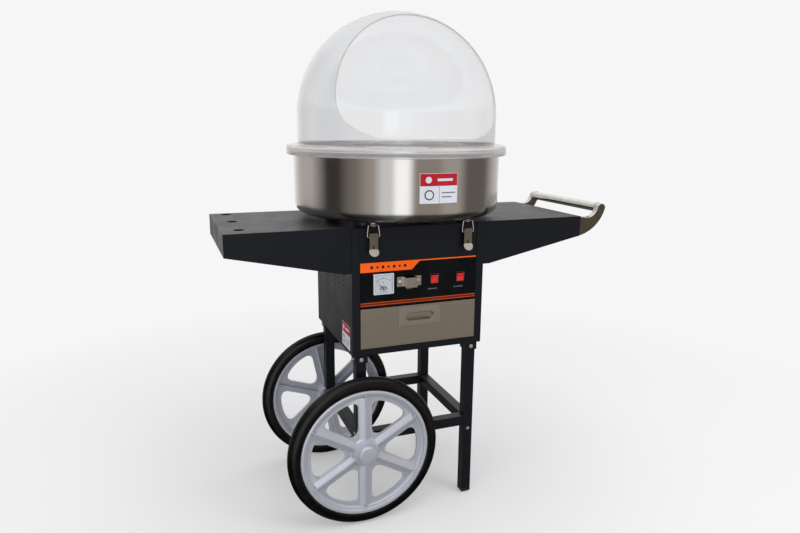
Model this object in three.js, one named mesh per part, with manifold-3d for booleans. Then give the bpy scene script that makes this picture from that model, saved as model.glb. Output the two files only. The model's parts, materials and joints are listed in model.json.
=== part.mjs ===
// Cotton candy machine on a two-wheeled cart: a steel bowl with a spinning sugar head under a clear
// bubble cover, on a sheet-steel cabinet with a drawer, two shelves, a push handle, four legs and two
// spoked wheels. Millimetres. +X runs to the push handle, -Y is the operator's side and +Z is up. The
// pieces are laid out from the spinner's axis on the floor, and the finished group is moved so that its
// origin lies under the middle of the whole cart.

import * as THREE from "three";
import { mergeVertices } from "three/addons/utils/BufferGeometryUtils.js";
import Module from "manifold-3d";

const wasm = await Module();
wasm.setup();

// ---- Driving dimensions ----

const GAP = 0.3; // between pieces that touch
const ROUND_SIDES = 36; // facets of a large round piece
const SHEET = 2; // cabinet and shelf sheet

const CABINET_HALF = 165;
const CABINET_FRONT = -162;
const CABINET_BACK = 162;
const CABINET_BOTTOM = 415;
const CABINET_TOP = 716;
const POST_WIDTH = 19;
const POST_DEPTH = 18;
const BOTTOM_RAIL = 16;
const PANEL_FACE = -160.5; // front of the panel between the posts
const PANEL_BOTTOM = 529;
const OVERLAY_FACE = -161.4;
const OVERLAY_BOTTOM = 532;
const OVERLAY_TOP = 634.5;
const INSTRUMENT_SEAT = OVERLAY_FACE - GAP;

const SHELF_END = 440;
const SHELF_HALF_DEPTH = 161;
const SHELF_OUTER_HEIGHT = 50;
const SHELF_INNER_HEIGHT = 104;
const SHELF_FLAT = 17; // level stretch of the apron beside the cabinet
const CONE_HOLE_RADIUS = 12;
const CONE_HOLE_X = -401;
const CONE_HOLE_PITCH = 125;
const CONE_HOLE_MIDDLE_Y = 13;

const HANDLE_X = 502;
const HANDLE_Z = 734;
const HANDLE_RADIUS = 11.5;
const HANDLE_END_RADIUS = 12;
const BRACKET_THICKNESS = 16;

const LEG_OFFSET = 142; // leg centres, from the middle in X and Y
const TUBE = 25;
const TUBE_WALL = 2;
const BRACE_MIDDLE = 205;
const SOCKET_DEPTH = 20;
const FOOT_HEIGHT = 10;

const WHEEL_X = -142;
const WHEEL_RADIUS = 184; // to the tread, and the axle's height
const RIM_RADIUS = 156;
const WHEEL_INNER_FACE = 158; // distances from the middle plane, along the axle
const RIM_OUTER_FACE = 193.6;
const HUB_OUTER_FACE = 199;
const AXLE_RADIUS = 6;
const SPOKES = 6;
const SPOKE_HALF_WIDTH = 16;

const BOWL_RADIUS = 251;
const BOWL_BOTTOM = 730;
const BOWL_WALL = 2;
const BOWL_CORNER = 25;
const BEAD_TOP = 887.7;
const COVER_RADIUS = 240;
const COVER_WALL = 3;
const COVER_RING_RADIUS = 267;
const COVER_RING_BOTTOM = 869;
const COVER_RING_TOP = 891;
const COVER_SPRING_LINE = 957; // where the straight side turns into the half sphere
const WINDOW_RADIUS = 192;
const WINDOW_MIDDLE = 988;
const WINDOW_BOTTOM = 909;

const HEAD_RADIUS = 80;
const HEAD_BOTTOM = 757;
const CUP_HEIGHT = 43;
const BAND_HEIGHT = 26;
const MOTOR_BOTTOM = 610;

const LATCH_X = 116.7;
const LATCH_PIVOT_Y = -166.5;
const LATCH_PIVOT_Z = 700;
const BAIL_PIVOT_Y = -170.5;
const BAIL_PIVOT_Z = 695;
const BAIL_BAR_Y = -169.8;
const BAIL_BAR_Z = 721.1;
const BAIL_WIRE = 1.25;

const METER = { x: -90.5, z: 584, half: 24, barrel: 20 };
const FUSE = { x: -26.8, z: 585, barrel: 6.5 };
const SWITCHES = { power: 37, heat: 104 };
const SWITCH_Z = 586.5;
const SWITCH_BODY = { halfWidth: 10.2, halfHeight: 11.2 };
const ROCKER_PIVOT_Y = -158.5;
const ROCKER_TILT = 9; // degrees off centre at rest
const NEEDLE_PIVOT_DROP = 12; // below the meter's middle
const NEEDLE_LENGTH = 25;
const NEEDLE_ZERO = -42; // degrees from upright, to the left
const GUARD_FACE = -180;
const GUARD_HALF_HEIGHT = 12;

const DRAWER_HALF = 138;
const DRAWER_BOTTOM = 433.5;
const DRAWER_TOP = 500;
const DRAWER_BACK = 128;
const TRAY_FRONT = -159.2;
const DRAWER_FACE = -163.5;
const PULL_Z = 499;
const PULL_DEPTH = 13.5; // of the finger pocket, behind the drawer's face

const GLAND_X = 100;
const GLAND_Z = 452;
const GLAND_NECK = 8;

// ---- Colours ----

const finish = (color, roughness, metalness, extra = {}) =>
  new THREE.MeshStandardMaterial({ color, roughness, metalness, ...extra });
const POWDER_COAT = finish(0x22252a, 0.55, 0.1);
const BRUSHED_STEEL = finish(0xb9b5ae, 0.35, 1);
const DRAWER_STEEL = finish(0x8a8176, 0.42, 1);
const CHROME = finish(0xd8d8d8, 0.12, 1);
const ZINC = finish(0xa9a39a, 0.35, 1);
const ALUMINIUM = finish(0xb0b2b5, 0.4, 1);
const WHEEL_PLASTIC = finish(0xa8abb8, 0.4, 0.3);
const TYRE_RUBBER = finish(0x151517, 0.7, 0);
const BLACK_PLASTIC = finish(0x1b1c1e, 0.5, 0);
const RED_PLASTIC = finish(0xd02020, 0.3, 0);
const METER_PLASTIC = finish(0xd4dbe4, 0.35, 0);
const OVERLAY_FILM = finish(0x0d1116, 0.3, 0);
const CLEAR = finish(0xeef3f6, 0.05, 0, { transparent: true, opacity: 0.3 });

// ---- Shape helpers ----

// A closed geometry as a manifold solid with its faces pointing out.
function solid(geometry) {
  const bare = geometry.index ? geometry.toNonIndexed() : geometry.clone();
  bare.deleteAttribute("normal");
  bare.deleteAttribute("uv");
  const merged = mergeVertices(bare, 1e-4);
  const triVerts = new Uint32Array(merged.index.array);
  const build = () =>
    new wasm.Manifold(
      new wasm.Mesh({
        numProp: 3,
        vertProperties: merged.attributes.position.array,
        triVerts,
      }),
    );
  const made = build();
  if (made.volume() > 0) return made;
  for (let i = 0; i < triVerts.length; i += 3)
    [triVerts[i + 1], triVerts[i + 2]] = [triVerts[i + 2], triVerts[i + 1]];
  return build();
}

// A manifold solid as a geometry for a mesh.
function surface(body) {
  const { numProp, vertProperties, triVerts } = body.getMesh();
  const points = new Float32Array((vertProperties.length / numProp) * 3);
  for (let i = 0; i < points.length / 3; i++)
    points.set(vertProperties.subarray(i * numProp, i * numProp + 3), i * 3);
  const indexed = new THREE.BufferGeometry();
  indexed.setAttribute("position", new THREE.BufferAttribute(points, 3));
  indexed.setIndex(new THREE.BufferAttribute(triVerts, 1));
  const flat = indexed.toNonIndexed();
  flat.computeVertexNormals();
  return flat;
}

const join = (first, ...rest) => rest.reduce((sum, next) => sum.add(next), first);
const cut = (first, ...rest) => rest.reduce((left, next) => left.subtract(next), first);

function block([x0, x1], [y0, y1], [z0, z1]) {
  const box = new THREE.BoxGeometry(x1 - x0, y1 - y0, z1 - z0);
  return solid(box.translate((x0 + x1) / 2, (y0 + y1) / 2, (z0 + z1) / 2));
}

// The frames that turn a drawing in two directions, with its depth, into the cart's axes.
const FRAME = {
  X: new THREE.Matrix4().makeBasis(
    new THREE.Vector3(0, 1, 0),
    new THREE.Vector3(0, 0, 1),
    new THREE.Vector3(1, 0, 0),
  ),
  Y: new THREE.Matrix4().makeBasis(
    new THREE.Vector3(1, 0, 0),
    new THREE.Vector3(0, 0, 1),
    new THREE.Vector3(0, -1, 0),
  ),
  Z: new THREE.Matrix4(),
};

// An outline extruded along an axis between two places. X takes (y, z) outlines, Y takes (x, z) and
// Z takes (x, y).
function extrude(outline, axis, from, to, curveSegments = 6) {
  const shape = Array.isArray(outline)
    ? new THREE.Shape(outline.map(([u, v]) => new THREE.Vector2(u, v)))
    : outline;
  const depth = to - from;
  const made = new THREE.ExtrudeGeometry(shape, { depth, bevelEnabled: false, curveSegments });
  made.applyMatrix4(FRAME[axis]);
  const start = axis === "Y" ? to : from;
  return solid(made.translate(...["X", "Y", "Z"].map((name) => (name === axis ? start : 0))));
}

// A round bar along an axis, between two places, through a centre given in the other two directions.
function bar(radius, axis, from, to, [u, v], sides = 16) {
  const outline = [];
  for (let i = 0; i < sides; i++) {
    const turn = ((i + 0.5) * 2 * Math.PI) / sides;
    outline.push([u + radius * Math.cos(turn), v + radius * Math.sin(turn)]);
  }
  return extrude(outline, axis, from, to);
}

// A profile of (radius, height) points turned about Z. A profile that leaves the axis closes on itself.
function turned(profile, sides = ROUND_SIDES) {
  const open = profile[0][0] === 0 && profile.at(-1)[0] === 0;
  const points = (open ? profile : [...profile, profile[0]]).map(([r, h]) => new THREE.Vector2(r, h));
  return solid(new THREE.LatheGeometry(points, sides).rotateX(Math.PI / 2));
}

// Points on an arc, with both ends, in degrees.
function arc([u, v], radius, start, end, steps) {
  return Array.from({ length: steps + 1 }, (_, i) => {
    const turn = THREE.MathUtils.degToRad(start + ((end - start) * i) / steps);
    return [u + radius * Math.cos(turn), v + radius * Math.sin(turn)];
  });
}

// A square tube along an axis, open at both ends, centred in the other two directions.
function squareTube(axis, from, to, [u, v]) {
  const square = (half) => [
    [u - half, v - half],
    [u + half, v - half],
    [u + half, v + half],
    [u - half, v + half],
  ];
  const outer = extrude(square(TUBE / 2), axis, from, to);
  return cut(outer, extrude(square(TUBE / 2 - TUBE_WALL), axis, from - 1, to + 1));
}

const cart = new THREE.Group();

function piece(name, body, material) {
  const mesh = new THREE.Mesh(surface(body), material);
  mesh.name = name;
  cart.add(mesh);
  return mesh;
}

const front = (body) => body;
const rear = (body) => body.mirror([0, 1, 0]);
const ENDS = { front, rear };

// ---- Cabinet ----

// A U of two corner posts and the rail under the drawer.
function frontFrame() {
  const inner = CABINET_HALF - POST_WIDTH;
  const top = CABINET_TOP - SHEET - GAP;
  const sill = CABINET_BOTTOM + BOTTOM_RAIL;
  const outline = [
    [-CABINET_HALF, CABINET_BOTTOM],
    [CABINET_HALF, CABINET_BOTTOM],
    [CABINET_HALF, top],
    [inner, top],
    [inner, sill],
    [-inner, sill],
    [-inner, top],
    [-CABINET_HALF, top],
  ];
  return extrude(outline, "Y", CABINET_FRONT, CABINET_FRONT + POST_DEPTH);
}

// A side with its grid of vent holes, on the left at -1 and on the right at 1.
function sidePanel(side) {
  const columns = [-90, -55, -20, 15, 50];
  const rows = [556, 568, 580, 592, 604];
  const inside = side * (CABINET_HALF - SHEET);
  const span = [inside, side * CABINET_HALF].sort((a, b) => a - b);
  const panel = block(
    span,
    [CABINET_FRONT + POST_DEPTH + GAP, CABINET_BACK],
    [CABINET_BOTTOM, CABINET_TOP - SHEET - GAP],
  );
  const through = [span[0] - 1, span[1] + 1];
  const holes = columns.flatMap((y) => rows.map((z) => bar(2.5, "X", ...through, [y, z], 12)));
  return cut(panel, ...holes);
}

// The back, with the seat of the cord gland and the two rear latch bases, which are let into the sheet.
function backPanel() {
  const half = CABINET_HALF - SHEET - GAP;
  const sheet = block(
    [-half, half],
    [CABINET_BACK - SHEET, CABINET_BACK],
    [CABINET_BOTTOM, CABINET_TOP - SHEET - GAP],
  );
  const bases = [-1, 1].map((side) => rear(latchBase(side, -CABINET_BACK + 1.4)));
  return cut(join(sheet, ...bases), bar(GLAND_NECK + GAP, "Y", 150, 170, [GLAND_X, GLAND_Z], 16));
}

function topPlate() {
  const plate = block(
    [-CABINET_HALF, CABINET_HALF],
    [CABINET_FRONT, CABINET_BACK],
    [CABINET_TOP - SHEET, CABINET_TOP],
  );
  return cut(plate, bar(20, "Z", CABINET_TOP - 10, CABINET_TOP + 10, [0, 0], 24));
}

// The floor of the cabinet, with the four leg sockets under it and the two drawer runners on it.
function bottomPlate() {
  const half = CABINET_HALF - SHEET - GAP;
  const start = CABINET_FRONT + POST_DEPTH + GAP;
  const end = CABINET_BACK - SHEET - GAP;
  const floor = block([-half, half], [start, end], [CABINET_BOTTOM, CABINET_BOTTOM + SHEET]);
  const inner = TUBE / 2 + GAP;
  const outer = inner + 2.5;
  const depth = [CABINET_BOTTOM - SOCKET_DEPTH, CABINET_BOTTOM + 0.5];
  const well = [CABINET_BOTTOM - SOCKET_DEPTH - 1, CABINET_BOTTOM];
  const sockets = [];
  for (const x of [-LEG_OFFSET, LEG_OFFSET])
    for (const y of [-LEG_OFFSET, LEG_OFFSET]) {
      const across = [x - outer, x + outer];
      const hull = block(across, [y - outer, y + outer], depth);
      const underRail = block(across, [CABINET_FRONT, start], [CABINET_BOTTOM - GAP, CABINET_BOTTOM + 1]);
      sockets.push(cut(hull, block([x - inner, x + inner], [y - inner, y + inner], well), underRail));
    }
  const runners = [-1, 1].flatMap((side) => {
    const across = (a, b) => [side * a, side * b].sort((p, q) => p - q);
    const along = [start, DRAWER_BACK + 2];
    return [
      block(across(DRAWER_HALF + 1, DRAWER_HALF + 3), along, [CABINET_BOTTOM, DRAWER_BOTTOM + 14]),
      block(across(DRAWER_HALF - 12, DRAWER_HALF + 2), along, [DRAWER_BOTTOM - 2.5, DRAWER_BOTTOM - 0.5]),
    ];
  });
  return join(floor, ...sockets, ...runners);
}

// Cutters for the instruments' bodies, which pass through the overlay and the panel behind it.
function instrumentHoles() {
  const reach = [CABINET_FRONT - 5, CABINET_FRONT + 10];
  const wide = SWITCH_BODY.halfWidth + 0.5;
  const tall = SWITCH_BODY.halfHeight + 0.5;
  return [
    bar(METER.barrel + 0.5, "Y", ...reach, [METER.x, METER.z], 24),
    bar(FUSE.barrel + 0.5, "Y", ...reach, [FUSE.x, FUSE.z], 16),
    ...Object.values(SWITCHES).map((x) =>
      block([x - wide, x + wide], reach, [SWITCH_Z - tall, SWITCH_Z + tall]),
    ),
  ];
}

function frontPanel() {
  const half = CABINET_HALF - POST_WIDTH - GAP;
  const sheet = block(
    [-half, half],
    [PANEL_FACE, PANEL_FACE + SHEET],
    [PANEL_BOTTOM, CABINET_TOP - SHEET - GAP],
  );
  return cut(sheet, ...instrumentHoles());
}

function controlOverlay() {
  const half = CABINET_HALF - POST_WIDTH - 0.6;
  const film = block([-half, half], [OVERLAY_FACE, OVERLAY_FACE + 0.6], [OVERLAY_BOTTOM, OVERLAY_TOP]);
  return cut(film, ...instrumentHoles());
}

// ---- Shelves and push handle ----

// A tray of folded sheet, open underneath, with aprons that slope down to the cabinet. side is -1 or 1.
function shelf(side) {
  const root = CABINET_HALF + GAP;
  const outline = (inset) =>
    [
      [root + inset, CABINET_TOP - inset],
      [SHELF_END - inset, CABINET_TOP - inset],
      [SHELF_END - inset, CABINET_TOP - SHELF_OUTER_HEIGHT - (inset && 20)],
      [root + SHELF_FLAT, CABINET_TOP - SHELF_INNER_HEIGHT - (inset && 20)],
      [root + inset, CABINET_TOP - SHELF_INNER_HEIGHT - (inset && 20)],
    ].map(([x, z]) => [side * x, z]);
  const hull = extrude(outline(0), "Y", -SHELF_HALF_DEPTH, SHELF_HALF_DEPTH);
  const hollow = SHELF_HALF_DEPTH - SHEET;
  return cut(hull, extrude(outline(SHEET), "Y", -hollow, hollow));
}

function leftShelf() {
  const holes = [-1, 0, 1].map((step) =>
    bar(
      CONE_HOLE_RADIUS,
      "Z",
      CABINET_TOP - 10,
      CABINET_TOP + 10,
      [CONE_HOLE_X, CONE_HOLE_MIDDLE_Y + step * CONE_HOLE_PITCH],
      40,
    ),
  );
  return cut(shelf(-1), ...holes);
}

// A horn-shaped end that rises from the shelf's corner to the tube.
function handleBracket() {
  const base = SHELF_END + GAP;
  const horn = new THREE.Shape();
  horn.moveTo(base, CABINET_TOP - SHELF_OUTER_HEIGHT);
  const low = CABINET_TOP - SHELF_OUTER_HEIGHT;
  const bulge = [base + 28, low + 5, HANDLE_X + 1, HANDLE_Z - 41];
  horn.bezierCurveTo(...bulge, HANDLE_X + HANDLE_END_RADIUS, HANDLE_Z);
  horn.absarc(HANDLE_X, HANDLE_Z, HANDLE_END_RADIUS, 0, THREE.MathUtils.degToRad(160), false);
  horn.bezierCurveTo(HANDLE_X - 16, HANDLE_Z - 12, base + 36, CABINET_TOP - 6, base + 16, CABINET_TOP - 3);
  horn.lineTo(base, CABINET_TOP - 1);
  return extrude(horn, "Y", -SHELF_HALF_DEPTH, -SHELF_HALF_DEPTH + BRACKET_THICKNESS, 10);
}

function handleTube() {
  const half = SHELF_HALF_DEPTH - BRACKET_THICKNESS - GAP;
  return bar(HANDLE_RADIUS, "Y", -half, half, [HANDLE_X, HANDLE_Z], 24);
}

// ---- Undercarriage ----

function leg(x, y) {
  const bottom = x < 0 ? WHEEL_RADIUS - 14 : FOOT_HEIGHT + GAP;
  const tube = squareTube("Z", bottom, CABINET_BOTTOM - GAP, [x, y]);
  if (x > 0) return tube;
  return cut(tube, bar(AXLE_RADIUS + 0.8, "Y", y - TUBE, y + TUBE, [x, WHEEL_RADIUS], 16));
}

function brace(axis, place) {
  const half = LEG_OFFSET - TUBE / 2 - GAP;
  return squareTube(axis, -half, half, [place, BRACE_MIDDLE]);
}

// A plastic cap with a plug that fills the end of the leg. Its sole is flat.
function foot(y) {
  const half = TUBE / 2;
  const plug = half - TUBE_WALL - GAP;
  const sole = [
    [-half + 4, 0],
    [half - 4, 0],
    [half, 4],
    [half, FOOT_HEIGHT],
    [plug, FOOT_HEIGHT],
    [plug, FOOT_HEIGHT + 16],
    [-plug, FOOT_HEIGHT + 16],
    [-plug, FOOT_HEIGHT],
    [-half, FOOT_HEIGHT],
    [-half, 4],
  ];
  const across = extrude(sole, "Y", -half, half);
  const along = extrude(sole, "X", -half, half);
  return across.intersect(along).translate([LEG_OFFSET, y, 0]);
}

// A rod with a spacing collar between each leg and its wheel.
function axle() {
  const rod = bar(AXLE_RADIUS, "Y", -HUB_OUTER_FACE + 2, HUB_OUTER_FACE - 2, [WHEEL_X, WHEEL_RADIUS]);
  const start = LEG_OFFSET + TUBE / 2 + GAP;
  const collar = bar(10, "Y", -WHEEL_INNER_FACE + GAP, -start, [WHEEL_X, WHEEL_RADIUS]);
  return join(rod, collar, rear(collar));
}

// One opening between two spokes, drawn about the hub: straight sides along the spokes and round corners.
function wheelWindow(middle) {
  const outer = 131;
  const inner = 50;
  const corner = 12;
  const at = (radius, side) => {
    const turn = middle + side * (Math.PI / SPOKES - Math.asin(SPOKE_HALF_WIDTH / radius));
    return new THREE.Vector2(radius * Math.cos(turn), radius * Math.sin(turn));
  };
  const crown = at(outer + 2, 0);
  const corners = [at(inner, -1), at(outer, -1), crown, at(outer, 1), at(inner, 1)];
  const shape = new THREE.Shape();
  corners.forEach((here, i) => {
    const before = corners.at(i - 1);
    const after = corners[(i + 1) % corners.length];
    const room = Math.min(here.distanceTo(after), here.distanceTo(before)) / 2.2;
    const reach = i === 2 ? 25 : Math.min(corner, room);
    const enter = here.clone().add(before.clone().sub(here).setLength(reach));
    const leave = here.clone().add(after.clone().sub(here).setLength(reach));
    if (i === 0) shape.moveTo(enter.x, enter.y);
    else shape.lineTo(enter.x, enter.y);
    shape.quadraticCurveTo(here.x, here.y, leave.x, leave.y);
  });
  return extrude(shape, "Z", WHEEL_INNER_FACE - 5, HUB_OUTER_FACE + 5, 2);
}

// Wheel pieces are drawn about Z, with Z as the distance from the middle plane, and then laid on the axle.
const onAxle = (body) => body.rotate([90, 0, 0]).translate([WHEEL_X, 0, WHEEL_RADIUS]);

function wheel() {
  const profile = [
    [AXLE_RADIUS + 0.6, WHEEL_INNER_FACE],
    [26, WHEEL_INNER_FACE],
    [31, 178],
    [RIM_RADIUS - 14, 178],
    [RIM_RADIUS - 8, WHEEL_INNER_FACE + 2],
    [RIM_RADIUS, WHEEL_INNER_FACE + 2],
    [RIM_RADIUS, RIM_OUTER_FACE],
    [RIM_RADIUS - 12, RIM_OUTER_FACE],
    [RIM_RADIUS - 16, 185],
    [38, 185],
    [31, 190],
    [28, HUB_OUTER_FACE],
    [AXLE_RADIUS + 0.6, HUB_OUTER_FACE],
  ];
  const windows = Array.from({ length: SPOKES }, (_, i) => wheelWindow((i * 2 * Math.PI) / SPOKES));
  return onAxle(cut(turned(profile), ...windows));
}

function tyre() {
  const middle = 176;
  const half = 16;
  const inner = RIM_RADIUS + GAP;
  const profile = [
    [inner, middle - half + 2],
    [inner + 8, middle - half],
    [WHEEL_RADIUS - 9, middle - half],
    [WHEEL_RADIUS - 2.5, middle - half + 6],
    [WHEEL_RADIUS, middle - 5],
    [WHEEL_RADIUS, middle + 5],
    [WHEEL_RADIUS - 2.5, middle + half - 6],
    [WHEEL_RADIUS - 9, middle + half],
    [inner + 8, middle + half],
    [inner, middle + half - 2],
  ];
  return onAxle(turned(profile));
}

function hubCap() {
  const seat = HUB_OUTER_FACE + GAP;
  const profile = [
    [0, seat],
    [22.5, seat],
    [22.5, seat + 5],
    [19.5, seat + 8],
    [0, seat + 8],
  ];
  return onAxle(turned(profile, 24));
}

// ---- Bowl, bubble cover and spinner ----

// A hook that the latch's wire bail pulls down on, under the bowl's floor.
function catchHook(side) {
  const x = side * LATCH_X;
  const stem = block([x - 9, x + 9], [-168, -166.5], [718, BOWL_BOTTOM + 1]);
  return join(stem, block([x - 9, x + 9], [-170.3, -166.5], [718, 719.5]));
}

function bowl() {
  const inner = BOWL_RADIUS - BOWL_WALL;
  const corner = [BOWL_RADIUS - BOWL_CORNER, BOWL_BOTTOM + BOWL_CORNER];
  const bead = [257, BEAD_TOP - 4.7];
  const collar = 14;
  const profile = [
    [collar, BOWL_BOTTOM],
    ...arc(corner, BOWL_CORNER, -90, 0, 4),
    [BOWL_RADIUS, 874],
    [254, 878.5],
    ...arc(bead, 4.7, -60, 120, 4),
    [inner, 880],
    ...arc(corner, BOWL_CORNER - BOWL_WALL, 0, -90, 4),
    [collar + BOWL_WALL, BOWL_BOTTOM + BOWL_WALL],
    [collar + BOWL_WALL, BOWL_BOTTOM + 14],
    [collar, BOWL_BOTTOM + 14],
  ];
  const hooks = [-1, 1].flatMap((side) => [catchHook(side), rear(catchHook(side))]);
  return join(turned(profile), ...hooks);
}

// The clear cover's serving window, drawn from the front: a big arc over a short straight-sided foot.
function coverWindow() {
  const corner = 58;
  const side = WINDOW_RADIUS - 7;
  const shape = new THREE.Shape();
  shape.moveTo(WINDOW_RADIUS, WINDOW_MIDDLE);
  shape.absarc(0, WINDOW_MIDDLE, WINDOW_RADIUS, 0, Math.PI, false);
  shape.lineTo(-side, WINDOW_BOTTOM + corner);
  shape.quadraticCurveTo(-side + 6, WINDOW_BOTTOM, -side + corner + 6, WINDOW_BOTTOM);
  shape.lineTo(side - corner - 6, WINDOW_BOTTOM);
  shape.quadraticCurveTo(side - 6, WINDOW_BOTTOM, side, WINDOW_BOTTOM + corner);
  shape.closePath();
  return extrude(shape, "Y", -COVER_RADIUS - 20, -20, 8);
}

// A flanged ring that sits over the bowl's bead, a short straight side and a half sphere.
function bubbleCover() {
  const skirt = COVER_RING_RADIUS - 2.5;
  const web = COVER_RING_TOP - COVER_WALL;
  const inside = COVER_RADIUS - COVER_WALL;
  const profile = [
    [0, COVER_SPRING_LINE + inside],
    ...arc([0, COVER_SPRING_LINE], inside, 80, 0, 7),
    [inside, web],
    [skirt, web],
    [skirt, COVER_RING_BOTTOM],
    [COVER_RING_RADIUS, COVER_RING_BOTTOM],
    [COVER_RING_RADIUS, COVER_RING_TOP - 3],
    [COVER_RING_RADIUS - 3, COVER_RING_TOP],
    [COVER_RADIUS + 3, COVER_RING_TOP],
    [COVER_RADIUS, COVER_RING_TOP + 3],
    ...arc([0, COVER_SPRING_LINE], COVER_RADIUS, 0, 80, 7),
    [0, COVER_SPRING_LINE + COVER_RADIUS],
  ];
  return cut(turned(profile), coverWindow());
}

function spinnerShaft() {
  const shaft = bar(6, "Z", 566, HEAD_BOTTOM - GAP, [0, 0], 12);
  const ring = bar(14, "Z", 570, 590, [0, 0], 16);
  return join(shaft, ring);
}

function spinnerCup() {
  const rim = HEAD_BOTTOM + CUP_HEIGHT;
  const profile = [
    [0, HEAD_BOTTOM],
    [22, HEAD_BOTTOM],
    [26, HEAD_BOTTOM + 8],
    [HEAD_RADIUS - 6, HEAD_BOTTOM + 10],
    [HEAD_RADIUS, HEAD_BOTTOM + 16],
    [HEAD_RADIUS, rim],
    [HEAD_RADIUS - 3, rim],
    [HEAD_RADIUS - 3, HEAD_BOTTOM + 18],
    [HEAD_RADIUS - 8, HEAD_BOTTOM + 13],
    [0, HEAD_BOTTOM + 13],
  ];
  return turned(profile, 24);
}

function heaterBand() {
  const low = HEAD_BOTTOM + CUP_HEIGHT + GAP;
  const high = low + BAND_HEIGHT;
  const profile = [
    [HEAD_RADIUS - 5, low],
    [HEAD_RADIUS - 1, low],
    [HEAD_RADIUS - 1, high],
    [HEAD_RADIUS - 5, high],
  ];
  return turned(profile, 24);
}

// The lid, with the mouth in its middle where the sugar is poured.
function spinnerCap() {
  const low = HEAD_BOTTOM + CUP_HEIGHT + BAND_HEIGHT + 2 * GAP;
  const profile = [
    [HEAD_RADIUS - 5, low],
    [HEAD_RADIUS, low],
    [HEAD_RADIUS, low + 4],
    [36, low + 16],
    [30, low + 16],
    [30, low + 12],
  ];
  return turned(profile, 24);
}

// A face-mounted motor that hangs under the cabinet's top plate, with a clear way for its shaft.
function motor() {
  const top = CABINET_TOP - SHEET - GAP;
  const flange = block([-65, 65], [-65, 65], [top - 4, top]);
  const can = bar(50, "Z", MOTOR_BOTTOM, top - 3, [0, 0], 32);
  const endBell = bar(30, "Z", MOTOR_BOTTOM - 10, MOTOR_BOTTOM + 1, [0, 0], 24);
  return cut(join(flange, can, endBell), bar(7.5, "Z", MOTOR_BOTTOM - 20, top + 10, [0, 0], 16));
}

// The block that carries the brushes against the slip rings, on an arm from the motor's end bell.
function brushHolder() {
  const top = MOTOR_BOTTOM - GAP;
  const brushes = block([17, 40], [-12, 12], [568, 592]);
  return join(brushes, block([33, 40], [-6, 6], [590, top]), block([33, 48], [-6, 6], [top - 4, top]));
}

// ---- Drawer ----

function drawerTray() {
  const hull = block([-DRAWER_HALF, DRAWER_HALF], [TRAY_FRONT, DRAWER_BACK], [DRAWER_BOTTOM, DRAWER_TOP]);
  const inside = block(
    [-DRAWER_HALF + SHEET, DRAWER_HALF - SHEET],
    [TRAY_FRONT + SHEET, DRAWER_BACK - SHEET],
    [DRAWER_BOTTOM + SHEET, DRAWER_TOP + 1],
  );
  const roomForPull = block([-37, 37], [TRAY_FRONT - 1, TRAY_FRONT + 12], [PULL_Z - 13, DRAWER_TOP + 1]);
  return cut(hull, inside, roomForPull);
}

// The steel front with its raised plate and the pocket for the fingers.
function drawerFront() {
  const half = CABINET_HALF - POST_WIDTH - 0.7;
  const sheet = block([-half, half], [DRAWER_FACE, DRAWER_FACE + 4], [431.6, 527]);
  const plate = block([-52, 52], [DRAWER_FACE - 1.2, DRAWER_FACE + 1], [PULL_Z - 21, PULL_Z + 21]);
  const floor = DRAWER_FACE + PULL_DEPTH;
  const cup = block([-36, 36], [DRAWER_FACE, floor + SHEET], [PULL_Z - 12, PULL_Z + 12]);
  const pocketRadius = 9.5;
  const endX = 24.5;
  const mouth = DRAWER_FACE - 5;
  const pocketEnds = [-endX, endX].map((x) => bar(pocketRadius, "Y", mouth, floor, [x, PULL_Z], 40));
  const flatHalf = pocketRadius - 0.1;
  const pocket = block([-endX, endX], [mouth, floor], [PULL_Z - flatHalf, PULL_Z + flatHalf]);
  return cut(join(sheet, plate, cup), pocket, ...pocketEnds);
}

// ---- Control panel ----

function meterHousing() {
  const { x, z, half, barrel } = METER;
  const face = block([x - half, x + half], [-168, INSTRUMENT_SEAT], [z - half, z + half]);
  const recess = block([x - 22, x + 22], [-170, -163.2], [z - 22, z + 22]);
  return join(cut(face, recess), bar(barrel, "Y", -162.5, -135, [x, z], 24));
}

function meterLens() {
  const { x, z } = METER;
  return block([x - 21.6, x + 21.6], [-167.8, -166.6], [z - 21.6, z + 21.6]);
}

// A pointer that lies at the zero end of its scale, up to the left of its pivot.
function meterNeedle() {
  const face = -165.6;
  const outline = [
    [-0.9, 0],
    [0.9, 0],
    [0.3, NEEDLE_LENGTH],
    [-0.3, NEEDLE_LENGTH],
  ];
  const pointer = extrude(outline, "Y", face, face + 0.7);
  const hub = bar(3.2, "Y", face, face + 2, [0, 0], 12);
  return join(hub, pointer)
    .rotate([0, NEEDLE_ZERO, 0])
    .translate([METER.x, 0, METER.z - NEEDLE_PIVOT_DROP]);
}

function fuseHolder() {
  const cap = bar(6, "Y", -173, -161.9, [FUSE.x, FUSE.z], 16);
  return join(cap, bar(FUSE.barrel, "Y", -162, -135, [FUSE.x, FUSE.z], 16));
}

// A bent strip with two screwed ears that stands over the fuse holder's cap.
function fuseGuard() {
  const wall = 1.5;
  const seat = INSTRUMENT_SEAT;
  const [left, right] = [-41, -12.6];
  const ear = 16;
  const outline = [
    [left - ear, seat],
    [left - ear, seat - wall],
    [left, seat - wall],
    [left, GUARD_FACE],
    [right, GUARD_FACE],
    [right, seat - wall],
    [right + ear, seat - wall],
    [right + ear, seat],
    [right - wall, seat],
    [right - wall, GUARD_FACE + wall],
    [left + wall, GUARD_FACE + wall],
    [left + wall, seat],
  ];
  return extrude(outline, "Z", FUSE.z - GUARD_HALF_HEIGHT, FUSE.z + GUARD_HALF_HEIGHT);
}

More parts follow.
